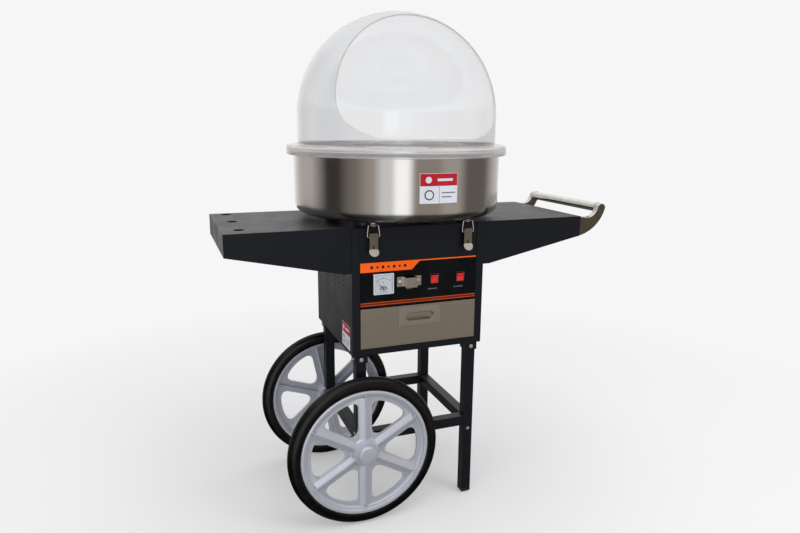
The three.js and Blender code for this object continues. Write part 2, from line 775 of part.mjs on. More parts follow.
function switchHousing(x) {
  const { halfWidth, halfHeight } = SWITCH_BODY;
  const bezel = block([x - 11.3, x + 11.3], [-163.7, INSTRUMENT_SEAT], [SWITCH_Z - 12.4, SWITCH_Z + 12.4]);
  const body = block(
    [x - halfWidth, x + halfWidth],
    [-162.5, -142],
    [SWITCH_Z - halfHeight, SWITCH_Z + halfHeight],
  );
  const well = block([x - 9.3, x + 9.3], [-165, -150], [SWITCH_Z - 10.3, SWITCH_Z + 10.3]);
  return cut(join(bezel, body), well);
}

// A two-way paddle that rests with its lower half pressed in.
function rocker(x) {
  const outline = [
    [-6.7, 8.6],
    [-4.4, 0],
    [-6.7, -8.6],
    [3.5, -6],
    [3.5, 6],
  ];
  return extrude(outline, "X", -8.8, 8.8)
    .rotate([ROCKER_TILT, 0, 0])
    .translate([x, ROCKER_PIVOT_Y, SWITCH_Z]);
}

// The gland where the mains cord would enter, with its bore.
function cordGland() {
  const neck = bar(GLAND_NECK, "Y", 152, 163, [GLAND_X, GLAND_Z], 16);
  const nut = bar(12, "Y", CABINET_BACK + GAP, 172, [GLAND_X, GLAND_Z], 6);
  const dome = bar(9, "Y", 171, 179, [GLAND_X, GLAND_Z], 16);
  return cut(join(neck, nut, dome), bar(4, "Y", 150, 185, [GLAND_X, GLAND_Z], 12));
}

// ---- Toggle latches ----

// A riveted plate with two ears and the pin that the lever turns on. seat is the face that it lies on.
function latchBase(side, seat) {
  const x = side * LATCH_X;
  const plate = block([x - 10, x + 10], [seat - 1.5, seat], [664, 706]);
  const ears = [-7.4, 5.4].map((start) =>
    block([x + start, x + start + 2], [-168.8, seat - 1], [LATCH_PIVOT_Z - 4, LATCH_PIVOT_Z + 3]),
  );
  const pin = bar(1.5, "X", x - 9.6, x + 9.6, [LATCH_PIVOT_Y, LATCH_PIVOT_Z], 8);
  return join(plate, ...ears, pin);
}

// A strip with a round thumb end and two cheeks that hang on the pin.
function latchLever(side) {
  const x = side * LATCH_X;
  const tip = 661;
  const blade = new THREE.Shape();
  blade.moveTo(-9.9, 703);
  blade.lineTo(-9.9, tip + 5);
  blade.absarc(0, tip, 11.5, Math.PI, 2 * Math.PI, false);
  blade.lineTo(9.9, tip + 5);
  blade.lineTo(9.9, 703);
  const face = extrude(blade, "Y", -173, -171.2, 8).translate([x, 0, 0]);
  const cheeks = [-9.9, 8.4].map((start) =>
    block([x + start, x + start + 1.5], [-171.4, -164.6], [691, 703]),
  );
  const pinHole = bar(2, "X", x - 12, x + 12, [LATCH_PIVOT_Y, LATCH_PIVOT_Z], 8);
  const wireHole = bar(1.8, "X", x - 12, x + 12, [BAIL_PIVOT_Y, BAIL_PIVOT_Z], 8);
  return cut(join(face, ...cheeks), pinHole, wireHole);
}

// A wire loop with turned-in ends, from the lever's cheeks up over the bowl's hook.
function latchBail(side) {
  const x = side * LATCH_X;
  const at = (across, y, z) => new THREE.Vector3(x + across, y, z);
  const points = [
    at(-8.2, BAIL_PIVOT_Y, BAIL_PIVOT_Z),
    at(-12.4, BAIL_PIVOT_Y, BAIL_PIVOT_Z),
    at(-14.2, BAIL_PIVOT_Y, BAIL_PIVOT_Z + 1.8),
    at(-11.8, BAIL_BAR_Y, BAIL_BAR_Z - 2.5),
    at(-9.3, BAIL_BAR_Y, BAIL_BAR_Z),
    at(9.3, BAIL_BAR_Y, BAIL_BAR_Z),
    at(11.8, BAIL_BAR_Y, BAIL_BAR_Z - 2.5),
    at(14.2, BAIL_PIVOT_Y, BAIL_PIVOT_Z + 1.8),
    at(12.4, BAIL_PIVOT_Y, BAIL_PIVOT_Z),
    at(8.2, BAIL_PIVOT_Y, BAIL_PIVOT_Z),
  ];
  const route = new THREE.CatmullRomCurve3(points, false, "catmullrom", 0.2);
  const outline = arc([0, 0], BAIL_WIRE, 0, 300, 5);
  const section = new THREE.Shape(outline.map(([u, v]) => new THREE.Vector2(u, v)));
  return solid(new THREE.ExtrudeGeometry(section, { steps: 26, extrudePath: route, bevelEnabled: false }));
}

// ---- Assembly ----

piece("front_frame", frontFrame(), POWDER_COAT);
piece("left_side_panel", sidePanel(-1), POWDER_COAT);
piece("right_side_panel", sidePanel(1), POWDER_COAT);
piece("back_panel", backPanel(), POWDER_COAT);
piece("top_plate", topPlate(), POWDER_COAT);
piece("bottom_plate", bottomPlate(), POWDER_COAT);
piece("front_panel", frontPanel(), POWDER_COAT);
piece("control_overlay", controlOverlay(), OVERLAY_FILM);

piece("left_shelf", leftShelf(), POWDER_COAT);
piece("right_shelf", shelf(1), POWDER_COAT);
piece("handle_tube", handleTube(), CHROME);
for (const [end, place] of Object.entries(ENDS))
  piece(`handle_bracket_${end}`, place(handleBracket()), CHROME);

for (const [end, y] of Object.entries({ front: -LEG_OFFSET, rear: LEG_OFFSET })) {
  piece(`leg_${end}_left`, leg(-LEG_OFFSET, y), POWDER_COAT);
  piece(`leg_${end}_right`, leg(LEG_OFFSET, y), POWDER_COAT);
  piece(`brace_${end}`, brace("X", y), POWDER_COAT);
  piece(`foot_${end}`, foot(y), BLACK_PLASTIC);
}
piece("brace_left", brace("Y", -LEG_OFFSET), POWDER_COAT);
piece("brace_right", brace("Y", LEG_OFFSET), POWDER_COAT);
piece("axle", axle(), ZINC);
for (const [end, place] of Object.entries(ENDS)) {
  piece(`wheel_${end}`, place(wheel()), WHEEL_PLASTIC);
  piece(`tyre_${end}`, place(tyre()), TYRE_RUBBER);
  piece(`hub_cap_${end}`, place(hubCap()), WHEEL_PLASTIC);
}

piece("bowl", bowl(), BRUSHED_STEEL);
piece("bubble_cover", bubbleCover(), CLEAR);
piece("motor", motor(), ALUMINIUM);
piece("brush_holder", brushHolder(), BLACK_PLASTIC);
piece("spinner_shaft", spinnerShaft(), ZINC);
piece("spinner_cup", spinnerCup(), ALUMINIUM);
piece("heater_band", heaterBand(), ZINC);
piece("spinner_cap", spinnerCap(), ALUMINIUM);

piece("drawer_tray", drawerTray(), ZINC);
piece("drawer_front", drawerFront(), DRAWER_STEEL);

piece("meter_housing", meterHousing(), METER_PLASTIC);
piece("meter_lens", meterLens(), CLEAR);
piece("meter_needle", meterNeedle(), BLACK_PLASTIC);
piece("fuse_holder", fuseHolder(), BLACK_PLASTIC);
piece("fuse_guard", fuseGuard(), ZINC);
for (const [name, x] of Object.entries(SWITCHES)) {
  piece(`${name}_switch_housing`, switchHousing(x), BLACK_PLASTIC);
  piece(`${name}_rocker`, rocker(x), RED_PLASTIC);
}
piece("cord_gland", cordGland(), BLACK_PLASTIC);

for (const [name, side] of [["left", -1], ["right", 1]]) {
  piece(`latch_base_${name}`, latchBase(side, PANEL_FACE - GAP), ZINC);
  for (const [end, place] of Object.entries(ENDS)) {
    piece(`latch_lever_${end}_${name}`, place(latchLever(side)), ZINC);
    piece(`latch_bail_${end}_${name}`, place(latchBail(side)), ZINC);
  }
}

cart.position.x = (SHELF_END - HANDLE_X - HANDLE_END_RADIUS) / 2;

export default cart;
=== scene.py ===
"""The looks of the cotton candy machine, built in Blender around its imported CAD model.

Shapes are drawn in millimetres from the spinner's axis on the floor, then brought into the row frame.
"""

import json
import math

import bmesh
import bpy
from mathutils import Matrix, Vector
from mathutils.geometry import tessellate_polygon


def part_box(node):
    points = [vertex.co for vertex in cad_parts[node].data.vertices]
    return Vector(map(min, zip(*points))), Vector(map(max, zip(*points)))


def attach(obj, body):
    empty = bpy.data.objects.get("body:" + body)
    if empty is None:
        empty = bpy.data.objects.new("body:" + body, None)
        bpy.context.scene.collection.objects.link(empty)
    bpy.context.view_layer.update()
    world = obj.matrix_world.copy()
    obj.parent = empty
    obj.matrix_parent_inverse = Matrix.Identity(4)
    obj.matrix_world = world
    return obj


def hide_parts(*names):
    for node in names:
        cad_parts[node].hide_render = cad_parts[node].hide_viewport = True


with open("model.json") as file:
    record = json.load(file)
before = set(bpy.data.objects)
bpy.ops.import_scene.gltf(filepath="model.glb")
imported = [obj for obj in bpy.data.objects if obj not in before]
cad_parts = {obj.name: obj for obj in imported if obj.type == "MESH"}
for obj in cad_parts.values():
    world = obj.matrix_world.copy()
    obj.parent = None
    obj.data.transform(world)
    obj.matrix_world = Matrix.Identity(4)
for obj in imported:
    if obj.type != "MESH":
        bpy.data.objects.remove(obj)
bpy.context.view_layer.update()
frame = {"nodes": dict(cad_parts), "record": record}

MM = 0.001
HEAD_LOW, HEAD_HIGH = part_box("spinner_cup")
AXIS_X = (HEAD_LOW.x + HEAD_HIGH.x) / 2
TYRE_LOW, TYRE_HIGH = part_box("tyre_front")
WHEEL_X = (TYRE_LOW.x + TYRE_HIGH.x) / 2
WHEEL_Z = (TYRE_LOW.z + TYRE_HIGH.z) / 2
TO_ROW = Matrix.Translation((AXIS_X, 0, 0)) @ Matrix.Scale(MM, 4)
TO_FRONT = Matrix.Rotation(math.radians(90), 4, "X")  # a drawing in X and Y stands up, its Z forwards
MIRROR_Y = Matrix.Diagonal((1, -1, 1, 1))
ENDS = (("front", Matrix.Identity(4)), ("rear", MIRROR_Y))
SCENE = bpy.context.scene


# ---- Materials ----


def add(mat, kind, inputs=None, **properties):
    """A new node in a material or world, with its properties and inputs set."""
    node = mat.node_tree.nodes.new(kind)
    for key, value in properties.items():
        setattr(node, key, value)
    for key, value in (inputs or {}).items():
        if isinstance(value, bpy.types.NodeSocket):
            mat.node_tree.links.new(value, node.inputs[key])
        else:
            node.inputs[key].default_value = value
    return node


def principled(name, **sockets):
    """A material with one Principled shader. Underscores in socket names stand for spaces."""
    mat = bpy.data.materials.new(name)
    mat.use_nodes = True
    shader = mat.node_tree.nodes["Principled BSDF"]
    for key, value in sockets.items():
        shader.inputs[key.replace("_", " ")].default_value = value
    return mat


def maths(mat, operation, *values):
    return add(mat, "ShaderNodeMath", dict(enumerate(values)), operation=operation).outputs[0]


def scaled(mat, colour, factor):
    inputs = {0: colour, "Scale": factor}
    return add(mat, "ShaderNodeVectorMath", inputs, operation="SCALE").outputs[0]


def facing_share(mat, axis):
    """How far a surface faces along an axis, from -1 to 1."""
    normal = add(mat, "ShaderNodeNewGeometry").outputs["Normal"]
    return add(mat, "ShaderNodeSeparateXYZ", {"Vector": normal}).outputs[axis]


def drive(mat, key, socket):
    mat.node_tree.links.new(socket, mat.node_tree.nodes["Principled BSDF"].inputs[key])


def noise(mat, scale, detail=3.0, stretch=(1, 1, 1), roughness=0.55):
    """Noise over the piece's own place, in metres, stretched by a factor along each axis."""
    source = add(mat, "ShaderNodeTexCoord").outputs["Object"]
    mapped = add(mat, "ShaderNodeMapping", {"Vector": source, "Scale": stretch})
    inputs = {"Vector": mapped.outputs[0], "Scale": scale, "Detail": detail, "Roughness": roughness}
    return add(mat, "ShaderNodeTexNoise", inputs).outputs["Fac"]


def remap(mat, value, low, high, start=0.35, end=0.65):
    inputs = {"Value": value, "From Min": start, "From Max": end, "To Min": low, "To Max": high}
    return add(mat, "ShaderNodeMapRange", inputs).outputs["Result"]


def blend_colour(mat, value, dark, light):
    """Colour from dark to light as value goes from 0 to 1. Either colour may be a socket."""
    node = add(mat, "ShaderNodeMix", data_type="RGBA")
    mat.node_tree.links.new(value, node.inputs[0])
    for index, colour in ((6, dark), (7, light)):
        if isinstance(colour, bpy.types.NodeSocket):
            mat.node_tree.links.new(colour, node.inputs[index])
        else:
            node.inputs[index].default_value = (*colour, 1)
    return node.outputs[2]


def tint(mat, value, dark, light):
    """Lets the base colour vary with a texture."""
    drive(mat, "Base Color", blend_colour(mat, remap(mat, value, 0, 1), dark, light))


def bump(mat, height, strength, depth_mm):
    inputs = {"Height": height, "Strength": strength, "Distance": depth_mm * MM}
    drive(mat, "Normal", add(mat, "ShaderNodeBump", inputs).outputs["Normal"])


def powder_coat():
    """Fine-textured black powder coat, painted lighter warm grey in patches on its level faces: partly
    dust, partly a painted highlight for the light those faces catch from above.
    """
    mat = principled("powder_coat", Specular_IOR_Level=0.38, Specular_Tint=(0.82, 0.88, 1, 1))
    grain = noise(mat, 1500, 2)
    patches = noise(mat, 14, 4)
    coat = blend_colour(mat, remap(mat, grain, 0, 1), (0.0018, 0.0026, 0.0044), (0.0038, 0.0048, 0.0072))
    level = remap(mat, facing_share(mat, "Z"), 0, 1, 0.9, 1.0)
    # level faces painted lighter in patches: dust together with painted top light
    dust_and_painted_top_light = maths(mat, "MULTIPLY", level, remap(mat, patches, 0.25, 0.5))
    drive(mat, "Base Color", blend_colour(mat, dust_and_painted_top_light, coat, (0.085, 0.072, 0.064)))
    drive(mat, "Roughness", remap(mat, patches, 0.4, 0.5))
    bump(mat, grain, 0.35, 0.12)
    return mat


def brushed(name, colour, roughness, stretch):
    """Metal with fine brush lines. stretch is small along the lines and large across them."""
    mat = principled(name, Metallic=1.0)
    lines = noise(mat, 60, 5, stretch, roughness=0.75)
    cloud = noise(mat, 9, 3)
    dark = tuple(c * 0.86 for c in colour)
    streaked = blend_colour(mat, remap(mat, lines, 0, 1), dark, colour)
    drive(mat, "Base Color", blend_colour(mat, remap(mat, cloud, 0, 0.25), streaked, dark))
    drive(mat, "Roughness", remap(mat, lines, roughness - 0.07, roughness + 0.07))
    bump(mat, lines, 0.12, 0.03)
    return mat


def bowl_steel():
    """Stainless steel brushed round the spinner's axis."""
    mat = principled("brushed_steel", Metallic=1.0, Anisotropic=0.85, Anisotropic_Rotation=0.25)
    tangent = add(mat, "ShaderNodeTangent", direction_type="RADIAL", axis="Z")
    drive(mat, "Tangent", tangent.outputs["Tangent"])
    lines = noise(mat, 55, 6, (0.1, 0.1, 60), roughness=0.8)
    tint(mat, lines, (0.58, 0.565, 0.545), (0.64, 0.63, 0.615))
    drive(mat, "Roughness", remap(mat, lines, 0.16, 0.22))
    bump(mat, lines, 0.03, 0.02)
    return mat


def chrome():
    mat = principled("chrome", Metallic=1.0)
    smudge = noise(mat, 35, 4)
    tint(mat, smudge, (0.7, 0.69, 0.67), (0.8, 0.8, 0.79))
    drive(mat, "Roughness", remap(mat, smudge, 0.07, 0.18))
    bump(mat, noise(mat, 90, 2), 0.04, 0.05)
    return mat


def chrome_painted_shade():
    """Chrome that is bright on rounded edges and painted dark brown on the flat cheeks: painted shade for
    the dark surroundings that the cheeks mirror.
    """
    mat = principled("chrome_painted_shade", Metallic=1.0)
    cheek = maths(mat, "ABSOLUTE", facing_share(mat, "Y"))
    smudge = noise(mat, 45, 4)
    painted_cheek_shade = blend_colour(mat, remap(mat, smudge, 0, 1), (0.115, 0.105, 0.08), (0.155, 0.14, 0.108))
    # cheeks facing front or back take the dark brown, which is painted shade
    drive(mat, "Base Color", blend_colour(mat, remap(mat, cheek, 0, 1, 0.8, 0.97), (0.7, 0.69, 0.67), painted_cheek_shade))
    drive(mat, "Roughness", remap(mat, smudge, 0.12, 0.24))
    bump(mat, noise(mat, 90, 2), 0.04, 0.05)
    return mat


def plastic(name, dark, light, roughness, grain_scale=900, relief=0.1, **sockets):
    """Moulded plastic with a fine spark texture and slight changes of colour."""
    mat = principled(name, **sockets)
    grain = noise(mat, grain_scale, 2)
    cloud = noise(mat, 22, 3)
    tint(mat, cloud, dark, light)
    drive(mat, "Roughness", remap(mat, cloud, roughness - 0.05, roughness + 0.06))
    bump(mat, grain, 0.2, relief)
    return mat


def silver_paint():
    """Silver moulded plastic with fine metal flake."""
    mat = principled("wheel_plastic", Metallic=0.55, Coat_Weight=0.3, Coat_Roughness=0.2)
    flake = noise(mat, 3500, 1)
    cloud = noise(mat, 12, 3)
    base = blend_colour(mat, remap(mat, flake, 0, 1), (0.53, 0.555, 0.63), (0.71, 0.74, 0.825))
    drive(mat, "Base Color", blend_colour(mat, remap(mat, cloud, 0, 0.3), base, (0.53, 0.55, 0.62)))
    drive(mat, "Roughness", remap(mat, cloud, 0.32, 0.4))
    bump(mat, noise(mat, 500, 2), 0.12, 0.05)
    return mat


def rubber():
    mat = principled("tyre_rubber", Specular_IOR_Level=0.34)
    grain = noise(mat, 1100, 3)
    scuff = noise(mat, 30, 5)
    tint(mat, scuff, (0.0006, 0.0006, 0.0007), (0.0022, 0.0022, 0.0022))
    drive(mat, "Roughness", remap(mat, scuff, 0.2, 0.32))
    bump(mat, grain, 0.3, 0.12)
    return mat


def acrylic():
    """Clear moulded acrylic with faint haze."""
    mat = principled("clear_plastic", Transmission_Weight=1.0, IOR=1.49)
    haze = noise(mat, 8, 3)
    tint(mat, haze, (0.862, 0.869, 0.882), (0.878, 0.885, 0.898))
    drive(mat, "Roughness", remap(mat, haze, 0.0, 0.03))
    return mat


def cloudy_acrylic(name, dark, light, clearness):
    """Clear acrylic where it is sawn or thick, which scatters part of the light that enters it."""
    mat = principled(name, Transmission_Weight=clearness, IOR=1.35, Roughness=0.12)
    haze = noise(mat, 14, 3)
    tint(mat, haze, dark, light)
    return mat


def film(name, colour, roughness=0.3, gloss=0.25):
    """Printed or self-adhesive film with a slight orange peel."""
    lighter = tuple(min(1, c * 1.12 + 0.002) for c in colour)
    return plastic(name, colour, lighter, roughness, 260, 0.04, Specular_IOR_Level=gloss)


def painted_glow_plastic():
    """Red translucent plastic with a faint painted glow: it emits light though no lamp is built behind it.
    """
    # a faint painted glow: emission with no lamp behind it
    glow = {"Emission_Color": (1, 0.04, 0.03, 1), "Emission_Strength": 0.08}
    clear = {"Coat_Weight": 0.5, "IOR": 1.49}
    return plastic("red_plastic", (0.5, 0.008, 0.01), (0.62, 0.012, 0.014), 0.2, **clear, **glow)


def turned_metal():
    """Aluminium with the fine rings that a lathe leaves."""
    mat = principled("aluminium", Metallic=1.0)
    rings = noise(mat, 30, 4, (1, 1, 30))
    tint(mat, rings, (0.45, 0.46, 0.47), (0.6, 0.61, 0.62))
    drive(mat, "Roughness", remap(mat, rings, 0.28, 0.42))
    bump(mat, rings, 0.15, 0.05)
    return mat


M = {
    "powder_coat": powder_coat(),
    "overlay_film": film("overlay_film", (0.0012, 0.002, 0.0032), 0.3, 0.13),
    "chrome": chrome(),
    "chrome_painted_shade": chrome_painted_shade(),
    "zinc": brushed("zinc", (0.82, 0.82, 0.83), 0.42, (1, 1, 1)),
    # zinc painted near black: painted shade on the latch bases behind the levers
    "zinc_in_painted_shade": brushed("zinc_in_painted_shade", (0.06, 0.055, 0.05), 0.4, (1, 1, 1)),
    "brushed_steel": bowl_steel(),
    "drawer_steel": brushed("drawer_steel", (0.5, 0.455, 0.405), 0.36, (0.05, 1, 22)),
    # a lighter copy of the drawer steel: a painted highlight on the pull frame, and also the fuse guard's
    # finish
    "pull_highlight_and_guard_steel": brushed("pull_highlight_and_guard_steel", (0.58, 0.54, 0.5), 0.3, (0.05, 1, 22)),
    # The latch lever's steel in two copies: a darker one for the pressed strip, painted shade, and a
    # lighter one for the thumb end, a painted highlight.
    "latch_steel": brushed("latch_steel", (0.29, 0.265, 0.215), 0.3, (14, 1, 0.2)),
    "lever_tip_painted_highlight": brushed("lever_tip_painted_highlight", (0.68, 0.645, 0.6), 0.34, (14, 1, 0.2)),
    "aluminium": turned_metal(),
    "wheel_plastic": silver_paint(),
    "tyre_rubber": rubber(),
    "black_plastic": plastic("black_plastic", (0.009, 0.009, 0.01), (0.015, 0.015, 0.017), 0.42),
    "red_plastic": painted_glow_plastic(),
    "meter_plastic": plastic("meter_plastic", (0.7, 0.78, 0.88), (0.78, 0.85, 0.94), 0.3, Coat_Weight=0.3),
    "clear_plastic": acrylic(),
    "sawn_acrylic": cloudy_acrylic("sawn_acrylic", (0.74, 0.735, 0.73), (0.8, 0.795, 0.79), 0.42),
    "rim_acrylic": cloudy_acrylic("rim_acrylic", (0.93, 0.925, 0.925), (0.97, 0.965, 0.965), 0.86),
    "orange_ink": film("orange_ink", (0.98, 0.118, 0.0), 0.35),
    "dim_orange_ink": film("dim_orange_ink", (0.52, 0.062, 0.004), 0.35, 0.15),
    "rust_ink": film("rust_ink", (0.11, 0.009, 0.004), 0.35, 0.15),
    "black_ink": film("black_ink", (0.012, 0.012, 0.014), 0.4),
    "grey_ink": film("grey_ink", (0.16, 0.16, 0.165), 0.4),
    "white_film": film("white_film", (0.62, 0.64, 0.7), 0.32),
    "dial_card": film("dial_card", (0.9, 0.96, 1.0), 0.4),
    "red_film": film("red_film", (0.42, 0.008, 0.018), 0.32),
}
GLASSY = ("clear_plastic", "rim_acrylic", "sawn_acrylic")


# ---- Mesh helpers ----


def shade_by_area(obj):
    """Lets the big faces set the shading, so that rounded edges blend into flats without folds."""
    even = obj.modifiers.new("even", "WEIGHTED_NORMAL")
    even.mode = "FACE_AREA"
    even.weight = 100
    even.thresh = 0.001
    even.keep_sharp = True


def show(name, bm, material, body, replaces=(), sharp=35, to_row=TO_ROW):
    """A bmesh in millimetres as a smooth-shaded piece that rides on a body."""
    bm.transform(to_row)
    bmesh.ops.remove_doubles(bm, verts=bm.verts, dist=2e-6)
    bmesh.ops.recalc_face_normals(bm, faces=bm.faces)
    mesh = bpy.data.meshes.new(name)
    bm.to_mesh(mesh)
    bm.free()
    mesh.shade_smooth()
    mesh.set_sharp_from_angle(angle=math.radians(sharp))
    mesh.materials.append(M[material])
    obj = bpy.data.objects.new(name, mesh)
    SCENE.collection.objects.link(obj)
    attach(obj, body)
    if material not in GLASSY:
        shade_by_area(obj)
    if replaces:
        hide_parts(*replaces)
    return obj


def bridge(bm, rings):
    """Faces between each closed ring of points and the next."""
    for first, second in zip(rings, rings[1:]):
        for i in range(len(first)):
            j = (i + 1) % len(first)
            bm.faces.new((first[i], first[j], second[j], second[i]))


def turned(profile, segments=128, ripple=None):
    """A profile of (radius, height) turned about Z. One that leaves the axis closes on itself."""
    bm = bmesh.new()
    on_axis = profile[0][0] == 0 and profile[-1][0] == 0
    rings = []
    for index, (radius, height) in enumerate(profile):
        count = 1 if radius == 0 else segments
        ring = []
        for step in range(count):
            turn = 2 * math.pi * step / segments
            reach = radius + (ripple(index, step) if ripple else 0)
            ring.append(bm.verts.new((reach * math.cos(turn), reach * math.sin(turn), height)))
        rings.append(ring)
    pairs = list(zip(rings, rings[1:]))
    if not on_axis:
        pairs.append((rings[-1], rings[0]))
    for first, second in pairs:
        for step in range(segments):
            corners = []
            for ring, offset in ((first, 0), (first, 1), (second, 1), (second, 0)):
                vert = ring[(step + offset) % len(ring)]
                if vert not in corners:
                    corners.append(vert)
            bm.faces.new(corners)
    return bm


def arc(centre, radius, start, end, steps):
    """Points on an arc with both ends, in degrees."""
    points = []
    for step in range(steps + 1):
        turn = math.radians(start + (end - start) * step / steps)
        points.append((centre[0] + radius * math.cos(turn), centre[1] + radius * math.sin(turn)))
    return points


def disc(centre, radius):
    return arc(centre, radius, 0, 345, 23)


def hexagon(radius):
    return arc((0, 0), radius, 0, 300, 5)


def bezier(a, b, c, d, steps):
    """Points on a cubic curve, without its first end."""
    points = []
    for step in range(1, steps + 1):
        t = step / steps
        weights = ((1 - t) ** 3, 3 * t * (1 - t) ** 2, 3 * t * t * (1 - t), t**3)
        points.append(tuple(sum(w * p[i] for w, p in zip(weights, (a, b, c, d))) for i in (0, 1)))
    return points


def plate(outlines, low, high):
    """A flat plate between two heights in Z, from a closed outline and any holes in it."""
    bm = bmesh.new()
    floor, roof = [], []
    for outline in outlines:
        floor.append([bm.verts.new((x, y, low)) for x, y in outline])
        roof.append([bm.verts.new((x, y, high)) for x, y in outline])
        bridge(bm, (floor[-1], roof[-1]))
    flat = [[Vector((x, y, 0)) for x, y in outline] for outline in outlines]
    for loops, turned_over in ((floor, True), (roof, False)):
        verts = [vert for loop in loops for vert in loop]
        for corners in tessellate_polygon(flat):
            face = [verts[i] for i in corners]
            bm.faces.new(face[::-1] if turned_over else face)
    bmesh.ops.recalc_face_normals(bm, faces=bm.faces)
    return bm


def box(low, high):
    bm = bmesh.new()
    size = [b - a for a, b in zip(low, high)]
    middle = [(a + b) / 2 for a, b in zip(low, high)]
    bmesh.ops.create_cube(bm, size=1, matrix=Matrix.Translation(middle) @ Matrix.Diagonal((*size, 1)))
    return bm


def rounded(bm, width, segments=2, angle=30):
    """Bevels every edge sharper than an angle, after merging the flat faces."""
    bmesh.ops.dissolve_limit(bm, angle_limit=math.radians(0.5), verts=bm.verts, edges=bm.edges)
    edges = [e for e in bm.edges if e.is_manifold and abs(e.calc_face_angle(0)) > math.radians(angle)]
    how = {"segments": segments, "profile": 0.5, "affect": "EDGES", "clamp_overlap": True}
    bmesh.ops.bevel(bm, geom=edges, offset=width, **how)
    return bm


def united(bodies, cutters=()):
    """Overlapping closed bodies as one closed mesh, with the cutters taken away."""
    made = []
    for bm in (*bodies, *cutters):
        bmesh.ops.recalc_face_normals(bm, faces=bm.faces)
        mesh = bpy.data.meshes.new("part")
        bm.to_mesh(mesh)
        bm.free()
        made.append(bpy.data.objects.new("part", mesh))
        SCENE.collection.objects.link(made[-1])
    base, others = made[0], made[1:]
    for index, other in enumerate(others):
        step = base.modifiers.new("step", "BOOLEAN")
        step.operation = "UNION" if index < len(bodies) - 1 else "DIFFERENCE"
        step.solver = "MANIFOLD"
        step.object = other
    graph = bpy.context.evaluated_depsgraph_get()
    bm = bmesh.new()
    bm.from_mesh(base.evaluated_get(graph).to_mesh())
    for obj in made:
        mesh = obj.data
        bpy.data.objects.remove(obj)
        bpy.data.meshes.remove(mesh)
    return bm


def tube(path, radius, sides=12):
    """A round wire along a path of points, closed at its ends."""
    bm = bmesh.new()
    rings = []
    across = Vector((0, 0, 1))
    for index, point in enumerate(path):
        ahead = path[min(index + 1, len(path) - 1)] - path[max(index - 1, 0)]
        ahead.normalize()
        side = across - ahead * across.dot(ahead)
        if side.length < 0.2:
            side = Vector((0, 1, 0)) - ahead * ahead.y
        side.normalize()
        across = side
        other = ahead.cross(side)
        ring = []
        for step in range(sides):
            turn = 2 * math.pi * step / sides
            ring.append(bm.verts.new(point + (side * math.cos(turn) + other * math.sin(turn)) * radius))
        rings.append(ring)
    bridge(bm, rings)
    bm.faces.new(rings[0][::-1])
    bm.faces.new(rings[-1])
    return bm


def catmull(points, steps):
    """A smooth path through points."""
    path = []
    ends = [points[0] * 2 - points[1], *points, points[-1] * 2 - points[-2]]
    for a, b, c, d in zip(ends, ends[1:], ends[2:], ends[3:]):
        for step in range(steps):
            t = step / steps
            bend, twist = 2 * a - 5 * b + 4 * c - d, 3 * b - a - 3 * c + d
            path.append(0.5 * (2 * b + (c - a) * t + bend * t**2 + twist * t**3))
    path.append(points[-1])
    return path


def facing(x, y, z):
    """Turns a drawing in X and Y so that its Z points to the operator, at a place on the front."""
    return Matrix.Translation((x, y, z)) @ TO_FRONT


# ---- CAD plates and tubes that keep their shape ----

SOFT_EDGES = {
    0.9: (
        "front_frame left_side_panel right_side_panel back_panel top_plate bottom_plate front_panel "
        "left_shelf right_shelf drawer_tray fuse_guard meter_housing power_switch_housing "
        "heat_switch_housing latch_base_left latch_base_right brush_holder motor"
    ),
    0.2: "control_overlay meter_lens meter_needle",
    1.2: (
        "leg_front_left leg_front_right leg_rear_left leg_rear_right "
        "brace_front brace_rear brace_left brace_right"
    ),
    2.5: "foot_front foot_rear",
    0.6: "drawer_front axle spinner_shaft fuse_holder",
}
# The latch bases take zinc painted near black, as painted shade behind the levers; the fuse guard takes the
# pull frame's lighter steel.
OTHER_FINISH = {"latch_base_left": "zinc_in_painted_shade", "latch_base_right": "zinc_in_painted_shade", "fuse_guard": "pull_highlight_and_guard_steel"}


def smooth_faces():
    """Geometry nodes that shade every face smooth, so that the bevels shade evenly."""
    group = bpy.data.node_groups.new("smooth_faces", "GeometryNodeTree")
    group.interface.new_socket("Geometry", in_out="INPUT", socket_type="NodeSocketGeometry")
    group.interface.new_socket("Geometry", in_out="OUTPUT", socket_type="NodeSocketGeometry")
    start = group.nodes.new("NodeGroupInput")
    smooth = group.nodes.new("GeometryNodeSetShadeSmooth")
    end = group.nodes.new("NodeGroupOutput")
    group.links.new(start.outputs[0], smooth.inputs["Geometry"])
    group.links.new(smooth.outputs[0], end.inputs[0])
    return group


def dress_cad():
    """Gives each CAD node its material and rounds its edges with modifiers."""
    widths = {node: width for width, names in SOFT_EDGES.items() for node in names.split()}
    slots = {row["node"]: row["material_slot"] for row in frame["record"]["subparts"]}
    group = smooth_faces()
    frame["nodes"]["meter_lens"].visible_shadow = False
    for name, obj in frame["nodes"].items():
        for slot in obj.material_slots:
            slot.link = "OBJECT"
            slot.material = M[OTHER_FINISH.get(name, slots[name])]
        if name not in widths:
            continue
        weld = obj.modifiers.new("weld", "WELD")
        weld.merge_threshold = 1e-5
        flat = obj.modifiers.new("flat", "DECIMATE")
        flat.decimate_type = "DISSOLVE"
        flat.angle_limit = math.radians(0.5)
        shade = obj.modifiers.new("shade", "NODES")
        shade.node_group = group
        edge = obj.modifiers.new("edge", "BEVEL")
        edge.width = widths[name] * MM
        edge.segments = 3
        edge.limit_method = "ANGLE"
        edge.angle_limit = math.radians(35)
        shade_by_area(obj)


# ---- Wheels ----

SPOKES = 6
WEB_TOP = 184.9


